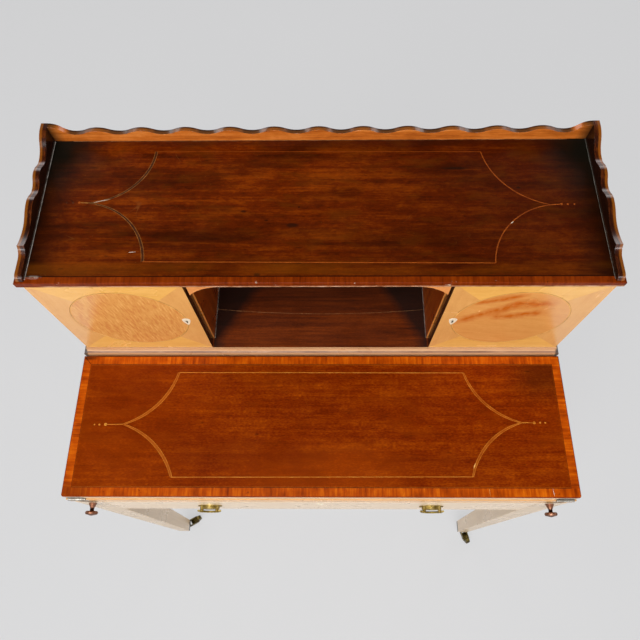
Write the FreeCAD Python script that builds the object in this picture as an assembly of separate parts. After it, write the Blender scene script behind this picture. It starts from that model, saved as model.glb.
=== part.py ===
import FreeCAD
import Part
import math
import os

# A bonheur du jour: a small writing desk on square tapered legs with casters. Its writing top folds
# over on hinges along the front edge and rests on two pull-out lopers beside a frieze drawer. On the
# back half stands a low cabinet with two cupboards, an arched recess and a top with a wavy gallery.
# Millimetres, Z up, the front faces -Y, left is -X. The origin is on the floor below the middle of
# the four legs.

# Stand
stand_width = 738.0
stand_depth = 443.0
caster_height = 36.0
leg_length = 684.0
leg_top_size = 41.0
leg_toe_size = 26.0
frieze_height = 115.0
rail_thickness = 14.0
rail_setback = 1.5
front_rail_height = 12.0
front_rail_depth = 38.0

# Writing bed and fold-over flap
bed_thickness = 20.0
bed_side_overhang = 6.0
bed_front_setback = 0.5
bed_back_overhang = 2.0
flap_thickness = 20.0
flap_depth = 215.5
flap_front_setback = 2.5
flap_back_gap = 2.0
flap_edge_round = 1.2
flap_corner_round = 3.5
lining_margin = 32.0
lining_thickness = 0.9
lining_recess = 1.0

# Flap hinges
flap_hinge_length = 26.0
flap_hinge_inset = 3.5
flap_hinge_leaf_width = 16.0
flap_open_gap = 0.3

# Cupboard door hinges
door_hinge_length = 34.0
door_hinge_end_distance = 26.0
door_hinge_leaf_width = 9.5
door_hinge_standoff = 1.0

# All hinges
hinge_leaf_thickness = 1.0
hinge_knuckle_radius = 2.4
hinge_pin_radius = 1.2
hinge_pin_clearance = 0.05
hinge_clearance = 0.35
hinge_middle_knuckle = 10.0

# Lopers and their knobs
loper_height = 34.0
loper_length = 285.0
loper_face_depth = 12.0
loper_gap = 0.3
loper_top_gap = 1.0
loper_guide_wall = 6.0
loper_guide_floor = 10.0
knob_reach = 19.0
knob_disc_radius = 9.5
knob_disc_thickness = 4.5
knob_crown = 2.2
knob_rim_round = 1.0
knob_flare = 8.0
knob_base_radius = 6.5
knob_neck_radius = 3.0
knob_shank_radius = 2.8
knob_shank_length = 8.0
shank_clearance = 0.05

# Frieze drawer
drawer_side_gap = 1.0
drawer_top_gap = 1.5
drawer_bottom_gap = 0.5
drawer_runner_gap = 0.2
drawer_stop_gap = 42.5
drawer_front_thickness = 18.0
drawer_front_lap = 6.0
drawer_side_thickness = 9.0
drawer_side_drop = 6.0
drawer_back_thickness = 8.0
drawer_back_drop = 6.0
drawer_bottom_thickness = 5.0
drawer_bottom_rise = 8.0
drawer_groove_depth = 4.0
dovetail_count = 4
dovetail_narrow_share = 0.55
dovetail_wide_share = 0.72
runner_width = 14.0
runner_guide_height = 14.0

# Drawer handles
handle_spacing = 349.0
handle_plate_width = 38.0
handle_plate_height = 27.0
handle_plate_thickness = 1.4
handle_boss_width = 30.0
handle_boss_height = 19.0
handle_boss_rise = 4.0
handle_post_spacing = 24.0
handle_post_radius = 2.7
handle_post_length = 9.4
handle_rise = 4.0
bail_radius = 17.0
bail_wire_radius = 1.7
bail_sides = 8
bail_pin_radius = 1.0
bail_pin_clearance = 0.05
bail_pin_length = 6.5
bail_pin_end_gap = 0.3
bail_standoff = 6.8

# Cabinet
cabinet_height = 218.0
cabinet_back_overhang = 2.0
cabinet_board = 10.0
cabinet_back_thickness = 6.0
recess_width = 333.0
plinth_height = 34.0
plinth_projection = 7.5
plinth_end_setback = 0.5
plinth_inset = 12.0
plinth_bead_height = 5.0
plinth_bead_depth = 2.6
plinth_bead_bulge = 1.0
plinth_cove_height = 5.5
plinth_cove_depth = 2.9
plinth_cove_hollow = 1.0
plinth_lip = 2.0
door_thickness = 15.0
door_gap = 0.3
door_end_gap = 0.7
door_side_reveal = 0.5
door_lap = 7.5
apron_end_gap = 1.0
apron_setback = 2.0
apron_thickness = 14.0
apron_height = 35.0
apron_crown = 10.0
apron_corner_width = 46.0

# Cabinet top and gallery
top_thickness = 10.0
top_side_overhang = 5.0
top_front_overhang = 3.0
top_back_overhang = 6.0
top_edge_round = 1.5
gallery_back_thickness = 7.0
gallery_side_thickness = 8.8
gallery_margin = 4.2
gallery_back_margin = 2.5
gallery_corner_height = 27.0
gallery_peak_height = 19.0
gallery_trough_height = 12.5
gallery_back_waves = 11
gallery_corner_run = 32.6
gallery_side_waves = 2
gallery_side_trough_share = 0.225
gallery_side_wave_share = 0.203
gallery_last_trough_share = 0.70
gallery_cusp_share = 0.815
gallery_scoop_share = 0.88
gallery_cusp_height = 17.0
gallery_nose_height = 8.0
gallery_front_gap = 2.2

# Keyhole plates
keyhole_plate_width = 11.5
keyhole_plate_shoulder = 5.0
keyhole_plate_crown = 9.5
keyhole_plate_point = 13.0
keyhole_plate_belly = 1.3
keyhole_plate_thickness = 2.0
keyhole_plate_proud = 0.3
keyhole_radius = 1.9
keyhole_slot_width = 2.0
keyhole_slot_length = 7.0
keyhole_depth = 8.0
door_keyhole_from_edge = 17.5
door_keyhole_rise = 104.0
drawer_keyhole_drop = 24.0

# Casters
caster_plate_radius = 12.0
caster_plate_thickness = 2.5
caster_pin_radius = 3.5
caster_pin_head_radius = 5.0
caster_pin_head_thickness = 1.8
caster_fit_clearance = 0.05
caster_gap = 0.3
caster_hub_radius = 7.5
caster_hub_height = 8.0
caster_trail = 28.0
caster_wheel_radius = 14.0
caster_wheel_width = 10.0
caster_tread_bevel = 1.0
caster_axle_radius = 2.0
caster_cheek_thickness = 2.4
caster_cheek_gap = 0.5
caster_eye_radius = 5.0
caster_cheek_crest = 2.5
caster_cheek_belly = 0.8
caster_wheel_clearance = 1.2
caster_crown_reach = 11.0
front_left_caster_angle = 35.0
front_right_caster_angle = -66.0

# Places that follow from the sizes above
half_width = stand_width / 2
front_y = -stand_depth / 2
back_y = stand_depth / 2
foot_z = caster_height
bed_bottom_z = foot_z + leg_length
frieze_bottom_z = bed_bottom_z - frieze_height
bed_top_z = bed_bottom_z + bed_thickness
flap_top_z = bed_top_z + flap_thickness
leg_inner_x = half_width - leg_top_size
leg_inner_y = back_y - leg_top_size
rail_inner_x = half_width - rail_setback - rail_thickness
bed_half = half_width + bed_side_overhang
bed_front_y = front_y + bed_front_setback
flap_front_y = front_y + flap_front_setback
flap_back_y = flap_front_y + flap_depth
flap_axis_y = (flap_front_y + bed_front_y - flap_open_gap) / 2
loper_top_z = bed_bottom_z - loper_top_gap
loper_bottom_z = loper_top_z - loper_height
loper_seat_z = loper_bottom_z - loper_gap
runner_top_z = frieze_bottom_z + front_rail_height
drawer_half = leg_inner_x - drawer_side_gap
drawer_back_y = back_y - rail_setback - rail_thickness - drawer_stop_gap
drawer_front_bottom_z = runner_top_z + drawer_bottom_gap
drawer_top_z = bed_bottom_z - drawer_top_gap
drawer_side_bottom_z = runner_top_z + drawer_runner_gap
drawer_side_top_z = drawer_top_z - drawer_side_drop
drawer_bottom_z = drawer_side_bottom_z + drawer_bottom_rise
handle_z = (drawer_front_bottom_z + drawer_top_z) / 2
cabinet_half = bed_half - plinth_end_setback - plinth_projection
plinth_front_y = flap_back_y + flap_back_gap
door_front_y = plinth_front_y + plinth_projection
door_back_y = door_front_y + door_thickness
cabinet_front_y = door_back_y + door_gap
cabinet_back_y = back_y + cabinet_back_overhang
floor_top_z = bed_top_z + plinth_height
cabinet_top_z = floor_top_z + cabinet_height
top_top_z = cabinet_top_z + top_thickness
recess_half = recess_width / 2
partition_outer_x = recess_half + cabinet_board
door_inner_x = partition_outer_x - door_lap
door_outer_x = cabinet_half - door_side_reveal
door_bottom_z = floor_top_z + door_end_gap
door_top_z = cabinet_top_z - door_end_gap
door_axis_x = cabinet_half + door_hinge_standoff
door_axis_y = (door_back_y + cabinet_front_y) / 2
top_half = cabinet_half + top_side_overhang
top_front_y = door_front_y - top_front_overhang
top_back_y = cabinet_back_y + top_back_overhang
gallery_outer_x = top_half - gallery_margin
gallery_inner_x = gallery_outer_x - gallery_side_thickness
gallery_back_y = top_back_y - gallery_back_margin
gallery_front_y = top_front_y + gallery_front_gap
gallery_side_run = gallery_back_y - gallery_front_y

tolerance = 0.001
X_AXIS = FreeCAD.Vector(1, 0, 0)
Y_AXIS = FreeCAD.Vector(0, 1, 0)
Z_AXIS = FreeCAD.Vector(0, 0, 1)
ORIGIN = FreeCAD.Vector(0, 0, 0)


def vector(x, y, z):
    return FreeCAD.Vector(x, y, z)


def block(x_range, y_range, z_range):
    size = [high - low for low, high in (x_range, y_range, z_range)]
    return Part.makeBox(*size, vector(x_range[0], y_range[0], z_range[0]))


def mirrored(shape):
    return shape.mirror(ORIGIN, X_AXIS)


def front_to_back(shape):
    return shape.mirror(ORIGIN, Y_AXIS)


def line(start, end):
    return Part.LineSegment(start, end).toShape()


def arc(start, middle, end):
    return Part.Arc(start, middle, end).toShape()


def bulged(start, end, bulge):
    """An arc from start to end whose middle stands off the straight line between them by bulge."""
    return arc(start, (start + end) / 2 + bulge, end)


def prism(edges, direction):
    return Part.Face(Part.Wire(edges)).extrude(direction)


def polygon_prism(points, direction):
    return Part.Face(Part.makePolygon(points + points[:1])).extrude(direction)


def flat_ogee(start, end):
    """Two equal arcs, level at both ends, that join two heights in one smooth step."""
    middle = (start + end) / 2
    return [level_arc(start, middle), level_arc(end, middle)]


def level_arc(level_end, other_end):
    """An arc that starts level at one end and rises or falls to the other, in a vertical plane."""
    step = other_end - level_end
    run = vector(step.x, step.y, 0)
    radius = step.Length ** 2 / (2 * abs(step.z))
    half_angle = math.atan2(abs(step.z), run.Length)
    direction = run / run.Length
    side = math.copysign(1, step.z)
    sagitta = radius * (1 - math.cos(half_angle)) * side
    middle = level_end + direction * (radius * math.sin(half_angle)) + Z_AXIS * sagitta
    return arc(level_end, middle, other_end)


# Stand

def tapered_leg():
    """Back or front leg at the left front: square above, tapered on its two inner faces below."""
    outer_x = -half_width

    def square(size, z):
        corners = [(0, 0), (size, 0), (size, size), (0, size)]
        points = [vector(outer_x + x, front_y + y, z) for x, y in corners]
        return Part.makePolygon(points + points[:1])

    taper = Part.makeLoft([square(leg_toe_size, foot_z), square(leg_top_size, frieze_bottom_z)], True, True)
    head = block((outer_x, outer_x + leg_top_size), (front_y, front_y + leg_top_size),
                 (frieze_bottom_z, bed_bottom_z))
    return head.fuse(taper).removeSplitter()


def front_leg():
    """The head is notched for the loper: a full-width seat for its face and a channel behind it."""
    leg = tapered_leg()
    face_seat = block((-half_width, -leg_inner_x), (front_y, front_y + loper_face_depth),
                      (loper_seat_z, bed_bottom_z))
    channel = block((-rail_inner_x, -leg_inner_x), (front_y, front_y + leg_top_size),
                    (loper_seat_z, bed_bottom_z))
    return leg.cut([face_seat, channel])


def side_rail():
    return block((-(half_width - rail_setback), -rail_inner_x), (-leg_inner_y, leg_inner_y),
                 (frieze_bottom_z, bed_bottom_z))


def back_rail():
    face_y = back_y - rail_setback
    return block((-leg_inner_x, leg_inner_x), (face_y - rail_thickness, face_y),
                 (frieze_bottom_z, bed_bottom_z))


def front_rail():
    face_y = front_y + rail_setback
    return block((-leg_inner_x, leg_inner_x), (face_y, face_y + front_rail_depth),
                 (frieze_bottom_z, runner_top_z))


def drawer_runner():
    """Rebated strip on the side rail: the drawer slides on its lower step, beside its upper one."""
    outline = [(-rail_inner_x, frieze_bottom_z), (-leg_inner_x + runner_width, frieze_bottom_z),
               (-leg_inner_x + runner_width, runner_top_z), (-leg_inner_x, runner_top_z),
               (-leg_inner_x, runner_top_z + runner_guide_height),
               (-rail_inner_x, runner_top_z + runner_guide_height)]
    points = [vector(x, -leg_inner_y, z) for x, z in outline]
    return polygon_prism(points, Y_AXIS * (2 * leg_inner_y))


def loper_guide():
    """An L-shaped channel under the bed that carries the loper between itself and the side rail."""
    under_z = loper_seat_z - loper_guide_floor
    outline = [(-rail_inner_x, under_z), (-leg_inner_x, under_z),
               (-leg_inner_x, bed_bottom_z), (-leg_inner_x - loper_guide_wall, bed_bottom_z),
               (-leg_inner_x - loper_guide_wall, loper_seat_z), (-rail_inner_x, loper_seat_z)]
    points = [vector(x, -leg_inner_y, z) for x, z in outline]
    return polygon_prism(points, Y_AXIS * (2 * leg_inner_y))


# Hinges, about an axis along Z: each leaf is a plate that reaches out along X, with its knuckles

def knuckle_spans(length):
    outer = (length - hinge_middle_knuckle) / 2
    return [(0, outer), (outer, outer + hinge_middle_knuckle), (outer + hinge_middle_knuckle, length)]


def span_cylinder(radius, span, margin=0.0):
    low, high = span
    return Part.makeCylinder(radius, high - low + 2 * margin, vector(0, 0, low - margin))


def hinge_plate(length, width, offset):
    return block((0, width), (offset, offset + hinge_leaf_thickness), (0, length))


def fixed_leaf(length, width, offset):
    """Plate with two outer knuckles and the pin riveted through them."""
    first, middle, last = knuckle_spans(length)
    leaf = hinge_plate(length, width, offset).fuse([span_cylinder(hinge_knuckle_radius, first),
                                                    span_cylinder(hinge_knuckle_radius, last)])
    leaf = leaf.cut(span_cylinder(hinge_knuckle_radius + hinge_clearance, middle))
    return leaf.fuse(span_cylinder(hinge_pin_radius, (0, length))).removeSplitter()


def moving_leaf(length, width, offset):
    """Plate with the middle knuckle, bored to turn on the pin."""
    first, middle, last = knuckle_spans(length)
    knuckle = (middle[0] + hinge_clearance, middle[1] - hinge_clearance)
    plate = hinge_plate(length, width, offset)
    clear = hinge_knuckle_radius + hinge_clearance
    outside = [span_cylinder(clear, (first[0], knuckle[0])), span_cylinder(clear, (knuckle[1], last[1]))]
    leaf = plate.cut(outside).fuse(span_cylinder(hinge_knuckle_radius, knuckle))
    bore = span_cylinder(hinge_pin_radius + hinge_pin_clearance, (0, length))
    return leaf.cut(bore).removeSplitter()


def hinge_recess(length, width, offset):
    """What the wood loses: a shallow housing for the plate and a groove for the knuckles."""
    groove = span_cylinder(hinge_knuckle_radius + hinge_clearance, (0, length), hinge_clearance)
    return hinge_plate(length, width, offset).fuse(groove)


def on_flap_axis(shape, turn):
    """Lay a hinge piece along X at the left end of the flap's front edge."""
    laid = shape.copy()
    laid.rotate(ORIGIN, Y_AXIS, turn)
    low_x = -(bed_half - flap_hinge_inset)
    start_x = low_x if turn > 0 else low_x + flap_hinge_length
    laid.translate(vector(start_x, flap_axis_y, bed_top_z))
    return laid


def bed_hinge_piece(maker):
    return on_flap_axis(maker(flap_hinge_length, flap_hinge_leaf_width, bed_front_y - flap_axis_y), 90)


def flap_hinge_piece(maker):
    return on_flap_axis(maker(flap_hinge_length, flap_hinge_leaf_width, flap_front_y - flap_axis_y), -90)


def door_hinge_places():
    low = door_bottom_z + door_hinge_end_distance
    high = door_top_z - door_hinge_end_distance - door_hinge_length
    return [vector(-door_axis_x, door_axis_y, z) for z in (low, high)]


def door_hinge_pieces(maker, offset):
    pieces = []
    for place in door_hinge_places():
        piece = maker(door_hinge_length, door_hinge_leaf_width, offset)
        piece.translate(place)
        pieces.append(piece)
    return pieces


def cabinet_side_hinge_pieces(maker):
    return door_hinge_pieces(maker, cabinet_front_y - door_axis_y)


def door_side_hinge_pieces(maker):
    return door_hinge_pieces(maker, door_back_y - door_axis_y - hinge_leaf_thickness)


# Writing bed and flap

def lining_area(z_low, z_high):
    return block((-(bed_half - lining_margin), bed_half - lining_margin),
                 (flap_front_y + lining_margin, flap_back_y - lining_margin), (z_low, z_high))


def writing_bed():
    board = block((-bed_half, bed_half), (bed_front_y, back_y + bed_back_overhang), (bed_bottom_z, bed_top_z))
    recess = bed_hinge_piece(hinge_recess)
    return board.cut([recess, mirrored(recess), lining_area(bed_top_z - lining_recess, bed_top_z)])


def bed_lining():
    bottom_z = bed_top_z - lining_recess
    return lining_area(bottom_z, bottom_z + lining_thickness)


def writing_flap():
    board = block((-bed_half, bed_half), (flap_front_y, flap_back_y), (bed_top_z, flap_top_z))
    at_front = [edge for edge in board.Edges if edge.BoundBox.YMax < flap_front_y + tolerance]
    corners = [edge for edge in at_front if edge.BoundBox.XLength < tolerance]
    board = board.makeFillet(flap_corner_round, corners)
    rim = [edge for edge in board.Edges if edge.BoundBox.ZMin > flap_top_z - tolerance]
    board = board.makeFillet(flap_edge_round, rim)
    recess = flap_hinge_piece(hinge_recess)
    return board.cut([recess, mirrored(recess), lining_area(bed_top_z, bed_top_z + lining_recess)])


def flap_lining():
    top_z = bed_top_z + lining_recess
    return lining_area(top_z - lining_thickness, top_z)


# Lopers

def loper():
    """A bar with a wide face that fills the head of the leg when it is pushed in."""
    face = block((-half_width + loper_gap, -leg_inner_x - loper_gap),
                 (front_y, front_y + loper_face_depth - loper_gap), (loper_bottom_z, loper_top_z))
    bar = block((-rail_inner_x + loper_gap, -leg_inner_x - loper_guide_wall - loper_gap),
                (front_y, front_y + loper_length), (loper_bottom_z, loper_top_z))
    hole = Part.makeCylinder(knob_shank_radius + shank_clearance, knob_shank_length + shank_clearance,
                             vector(knob_x(), front_y, knob_z()), Y_AXIS)
    return face.fuse(bar).removeSplitter().cut(hole)


def knob_x():
    return -(half_width + leg_inner_x) / 2


def knob_z():
    return (loper_bottom_z + loper_top_z) / 2


def loper_knob():
    """Turned knob: flared base, thin neck and a disc with a low crown, its shank let into the loper."""
    disc_back = knob_reach - knob_crown - knob_disc_thickness
    disc_front = knob_reach - knob_crown
    rim = knob_disc_radius - knob_rim_round

    def at(radius, reach):
        return vector(radius, 0, reach)

    edges = [line(at(0, -knob_shank_length), at(knob_shank_radius, -knob_shank_length)),
             line(at(knob_shank_radius, -knob_shank_length), at(knob_shank_radius, 0)),
             line(at(knob_shank_radius, 0), at(knob_base_radius, 0)),
             line(at(knob_base_radius, 0), at(knob_neck_radius, knob_flare)),
             line(at(knob_neck_radius, knob_flare), at(knob_neck_radius, disc_back)),
             line(at(knob_neck_radius, disc_back), at(rim, disc_back)),
             line(at(rim, disc_back), at(knob_disc_radius, (disc_back + disc_front) / 2)),
             line(at(knob_disc_radius, (disc_back + disc_front) / 2), at(rim, disc_front)),
             line(at(rim, disc_front), at(0, knob_reach)),
             line(at(0, knob_reach), at(0, -knob_shank_length))]
    knob = Part.Face(Part.Wire(Part.sortEdges(edges)[0])).revolve(ORIGIN, Z_AXIS, 360)
    knob.rotate(ORIGIN, X_AXIS, 90)
    knob.translate(vector(knob_x(), front_y, knob_z()))
    return knob


# Keyhole plates

def shield_prism(center, depth):
    """Shield outline with a round crown and a pointed foot, extruded backwards."""
    half = keyhole_plate_width / 2

    def at(x, z):
        return center + vector(x, 0, z)

    left = at(-half, keyhole_plate_shoulder)
    right = at(half, keyhole_plate_shoulder)
    foot = at(0, -keyhole_plate_point)
    edges = [arc(left, at(0, keyhole_plate_crown), right),
             bulged(right, foot, X_AXIS * keyhole_plate_belly),
             bulged(foot, left, X_AXIS * -keyhole_plate_belly)]
    return prism(edges, Y_AXIS * depth)


def keyhole(center, depth):
    bore = Part.makeCylinder(keyhole_radius, depth, center, Y_AXIS)
    slot = Part.makeBox(keyhole_slot_width, depth, keyhole_slot_length,
                        center - vector(keyhole_slot_width / 2, 0, keyhole_slot_length))
    return bore.fuse(slot)


def keyhole_plate(center):
    """The inlaid plate stands a little proud of the wood around it."""
    front = center - Y_AXIS * keyhole_plate_proud
    plate = shield_prism(front, keyhole_plate_thickness)
    return plate.cut(keyhole(front, keyhole_plate_thickness))


def keyhole_cut(center):
    seat_depth = keyhole_plate_thickness - keyhole_plate_proud
    return shield_prism(center, seat_depth).fuse(keyhole(center, keyhole_depth))


# Drawer

def tail_prism(z_center, pitch, x_low):
    """One dovetail of a drawer side, wider at its front end, as deep as the side is thick."""
    tip_y = front_y + drawer_front_lap
    root_y = front_y + drawer_front_thickness
    narrow = pitch * dovetail_narrow_share / 2
    wide = pitch * dovetail_wide_share / 2
    outline = [(root_y, z_center - narrow), (tip_y, z_center - wide),
               (tip_y, z_center + wide), (root_y, z_center + narrow)]
    points = [vector(x_low, y, z) for y, z in outline]
    return polygon_prism(points, X_AXIS * drawer_side_thickness)


def drawer_tails():
    pitch = (drawer_side_top_z - drawer_side_bottom_z) / dovetail_count
    centers = [drawer_side_bottom_z + pitch * (index + 0.5) for index in range(dovetail_count)]
    return [tail_prism(center, pitch, -drawer_half) for center in centers]


def drawer_keyhole():
    return vector(0, front_y, drawer_top_z - drawer_keyhole_drop)


def drawer_bottom():
    reach = drawer_half - drawer_side_thickness + drawer_groove_depth
    return block((-reach, reach),
                 (front_y + drawer_front_thickness - drawer_groove_depth, drawer_back_y),
                 (drawer_bottom_z, drawer_bottom_z + drawer_bottom_thickness))


def drawer_front():
    board = block((-drawer_half, drawer_half), (front_y, front_y + drawer_front_thickness),
                  (drawer_front_bottom_z, drawer_top_z))
    tails = drawer_tails()
    sockets = tails + [mirrored(tail) for tail in tails]
    return board.cut(sockets + [drawer_bottom(), keyhole_cut(drawer_keyhole())])


def drawer_side():
    board = block((-drawer_half, -drawer_half + drawer_side_thickness),
                  (front_y + drawer_front_thickness, drawer_back_y),
                  (drawer_side_bottom_z, drawer_side_top_z))
    return board.fuse(drawer_tails()).removeSplitter().cut(drawer_bottom())


def drawer_back():
    inner = drawer_half - drawer_side_thickness
    return block((-inner, inner), (drawer_back_y - drawer_back_thickness, drawer_back_y),
                 (drawer_bottom_z + drawer_bottom_thickness, drawer_side_top_z - drawer_back_drop))


# Drawer handles

def handle_axis(side):
    return vector(side * handle_spacing / 2, front_y - handle_plate_thickness - bail_standoff,
                  handle_z + handle_rise)


def handle_plate(side):
    """Oval back plate with a raised middle and two posts, each bored from outside for the bail."""
    center = vector(side * handle_spacing / 2, front_y, handle_z)
    axis = handle_axis(side)

    def oval_plate(width, height, thickness):
        oval = Part.Ellipse(center, width / 2, height / 2)
        oval.rotate(FreeCAD.Placement(center, FreeCAD.Rotation(X_AXIS, 90), ORIGIN))
        return prism([oval.toShape()], Y_AXIS * -thickness)

    plate = oval_plate(handle_plate_width, handle_plate_height, handle_plate_thickness)
    raised = oval_plate(handle_boss_width, handle_boss_height, handle_plate_thickness + handle_boss_rise)
    plate = plate.fuse(raised)
    post_length = handle_plate_thickness + handle_post_length
    bore_radius = bail_pin_radius + bail_pin_clearance
    bore_length = bail_pin_length + bail_pin_end_gap
    bores = []
    for end_side in (-1, 1):
        foot = vector(axis.x + end_side * handle_post_spacing / 2, front_y, axis.z)
        plate = plate.fuse(Part.makeCylinder(handle_post_radius, post_length, foot, Y_AXIS * -1))
        mouth = axis + X_AXIS * (end_side * bail_radius)
        bores.append(Part.makeCylinder(bore_radius, bore_length, mouth, X_AXIS * -end_side))
    return plate.removeSplitter().cut(bores)


def drawer_bail(side):
    """Half-round drop handle of eight-sided bar whose ends turn inwards into the posts."""
    axis = handle_axis(side)
    overrun = math.degrees(math.asin(bail_wire_radius / bail_radius))
    turns = [math.tau * (side_index + 0.5) / bail_sides for side_index in range(bail_sides)]
    around = [vector(math.cos(turn), math.sin(turn), 0) for turn in turns]
    points = [axis + X_AXIS * bail_radius + direction * bail_wire_radius for direction in around]
    section = Part.Face(Part.makePolygon(points + points[:1]))
    section.rotate(axis, Y_AXIS, -overrun)
    bow = section.revolve(axis, Y_AXIS, 180 + 2 * overrun)
    pins = []
    for end_side in (-1, 1):
        end = axis + X_AXIS * (end_side * bail_radius)
        pins.append(Part.makeCylinder(bail_pin_radius, bail_pin_length, end, X_AXIS * -end_side))
    return bow.fuse(pins)


# Cabinet

def plinth_moulding():
    """Base moulding on three sides, mitred at the front corners: flat face, bead, cove and lip."""
    low_z = bed_top_z
    inner = -plinth_inset
    bead_z = low_z + plinth_height - plinth_bead_height - plinth_cove_height - plinth_lip
    bead_top_z = bead_z + plinth_bead_height
    cove_top_z = bead_top_z + plinth_cove_height
    bead_out = plinth_projection - plinth_bead_depth
    cove_out = bead_out - plinth_cove_depth
    seat_z = low_z + plinth_height - cabinet_board

    def profile(place):
        bulge = place(plinth_bead_bulge, 0) - place(0, 0)
        hollow = place(-plinth_cove_hollow, 0) - place(0, 0)
        return [line(place(inner, low_z), place(plinth_projection, low_z)),
                line(place(plinth_projection, low_z), place(plinth_projection, bead_z)),
                bulged(place(plinth_projection, bead_z), place(bead_out, bead_top_z), bulge),
                bulged(place(bead_out, bead_top_z), place(cove_out, cove_top_z), hollow),
                line(place(cove_out, cove_top_z), place(cove_out, floor_top_z)),
                line(place(cove_out, floor_top_z), place(0, floor_top_z)),
                line(place(0, floor_top_z), place(0, seat_z)),
                line(place(0, seat_z), place(inner, seat_z)),
                line(place(inner, seat_z), place(inner, low_z))]

    corner_x = cabinet_half + plinth_projection
    mitre = plinth_projection + plinth_inset
    front = prism(profile(lambda out, z: vector(-corner_x, door_front_y - out, z)), X_AXIS * (2 * corner_x))
    front_area = [(-corner_x, plinth_front_y), (corner_x, plinth_front_y),
                  (corner_x - mitre, plinth_front_y + mitre), (mitre - corner_x, plinth_front_y + mitre)]
    side = prism(profile(lambda out, z: vector(-cabinet_half - out, plinth_front_y, z)),
                 Y_AXIS * (cabinet_back_y - plinth_front_y))
    side_area = [(-corner_x, plinth_front_y), (mitre - corner_x, plinth_front_y + mitre),
                 (mitre - corner_x, cabinet_back_y), (-corner_x, cabinet_back_y)]

    def kept(piece, area):
        points = [vector(x, y, low_z) for x, y in area]
        return piece.common(polygon_prism(points, Z_AXIS * plinth_height))

    left = kept(side, side_area)
    return kept(front, front_area).fuse([left, mirrored(left)]).removeSplitter()


def cabinet_floor():
    return block((-cabinet_half, cabinet_half), (door_front_y, cabinet_back_y),
                 (floor_top_z - cabinet_board, floor_top_z))


def cabinet_side():
    board = block((-cabinet_half, -cabinet_half + cabinet_board), (cabinet_front_y, cabinet_back_y),
                  (floor_top_z, cabinet_top_z))
    return board.cut(cabinet_side_hinge_pieces(hinge_recess))


def partition():
    end_y = cabinet_back_y - cabinet_back_thickness
    return block((-partition_outer_x, -recess_half), (cabinet_front_y, end_y), (floor_top_z, cabinet_top_z))


def cabinet_back():
    reach = cabinet_half - cabinet_board
    return block((-reach, reach), (cabinet_back_y - cabinet_back_thickness, cabinet_back_y),
                 (floor_top_z, cabinet_top_z))


def arched_apron():
    """Valance over the recess: a flat crown that curves down to a tip at each end."""
    reach = recess_half - apron_end_gap
    tip_z = cabinet_top_z - apron_height
    crown_z = cabinet_top_z - apron_crown
    face_y = door_front_y + apron_setback
    shoulder = reach - apron_corner_width

    def at(x, z):
        return vector(x, face_y, z)

    edges = [line(at(-reach, cabinet_top_z), at(reach, cabinet_top_z)),
             line(at(reach, cabinet_top_z), at(reach, tip_z)),
             level_arc(at(shoulder, crown_z), at(reach, tip_z)),
             line(at(shoulder, crown_z), at(-shoulder, crown_z)),
             level_arc(at(-shoulder, crown_z), at(-reach, tip_z)),
             line(at(-reach, tip_z), at(-reach, cabinet_top_z))]
    return prism(Part.sortEdges(edges)[0], Y_AXIS * apron_thickness)


def door_keyhole():
    return vector(-door_inner_x - door_keyhole_from_edge, door_front_y, door_bottom_z + door_keyhole_rise)


def cupboard_door():
    board = block((-door_outer_x, -door_inner_x), (door_front_y, door_back_y), (door_bottom_z, door_top_z))
    return board.cut(door_side_hinge_pieces(hinge_recess) + [keyhole_cut(door_keyhole())])


def cabinet_top():
    board = block((-top_half, top_half), (top_front_y, top_back_y), (cabinet_top_z, top_top_z))
    upper = [edge for edge in board.Edges if edge.BoundBox.ZMin > top_top_z - tolerance]
    rim = [edge for edge in upper if edge.BoundBox.YMin < top_back_y - tolerance]
    return board.makeFillet(top_edge_round, rim)


# Gallery

def wave_edges(levels):
    """Smooth run through a list of places, level at each of them."""
    edges = []
    for start, end in zip(levels, levels[1:]):
        same_height = abs(start.z - end.z) < tolerance
        edges += [line(start, end)] if same_height else flat_ogee(start, end)
    return edges


def gallery_back():
    """Evenly waved crest that sweeps up to each corner."""
    face_y = gallery_back_y - gallery_back_thickness

    def at(x, height):
        return vector(x, face_y, top_top_z + height)

    half_steps = 2 * gallery_back_waves
    first_x = gallery_corner_run - gallery_inner_x
    half_wave = -first_x / gallery_back_waves
    levels = [at(-gallery_inner_x, gallery_corner_height)]
    for index in range(half_steps + 1):
        height = gallery_peak_height if index % 2 else gallery_trough_height
        levels.append(at(first_x + index * half_wave, height))
    levels.append(at(gallery_inner_x, gallery_corner_height))
    edges = wave_edges(levels)
    edges += [line(at(gallery_inner_x, gallery_corner_height), at(gallery_inner_x, 0)),
              line(at(gallery_inner_x, 0), at(-gallery_inner_x, 0)),
              line(at(-gallery_inner_x, 0), at(-gallery_inner_x, gallery_corner_height))]
    return prism(Part.sortEdges(edges)[0], Y_AXIS * gallery_back_thickness)


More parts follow.
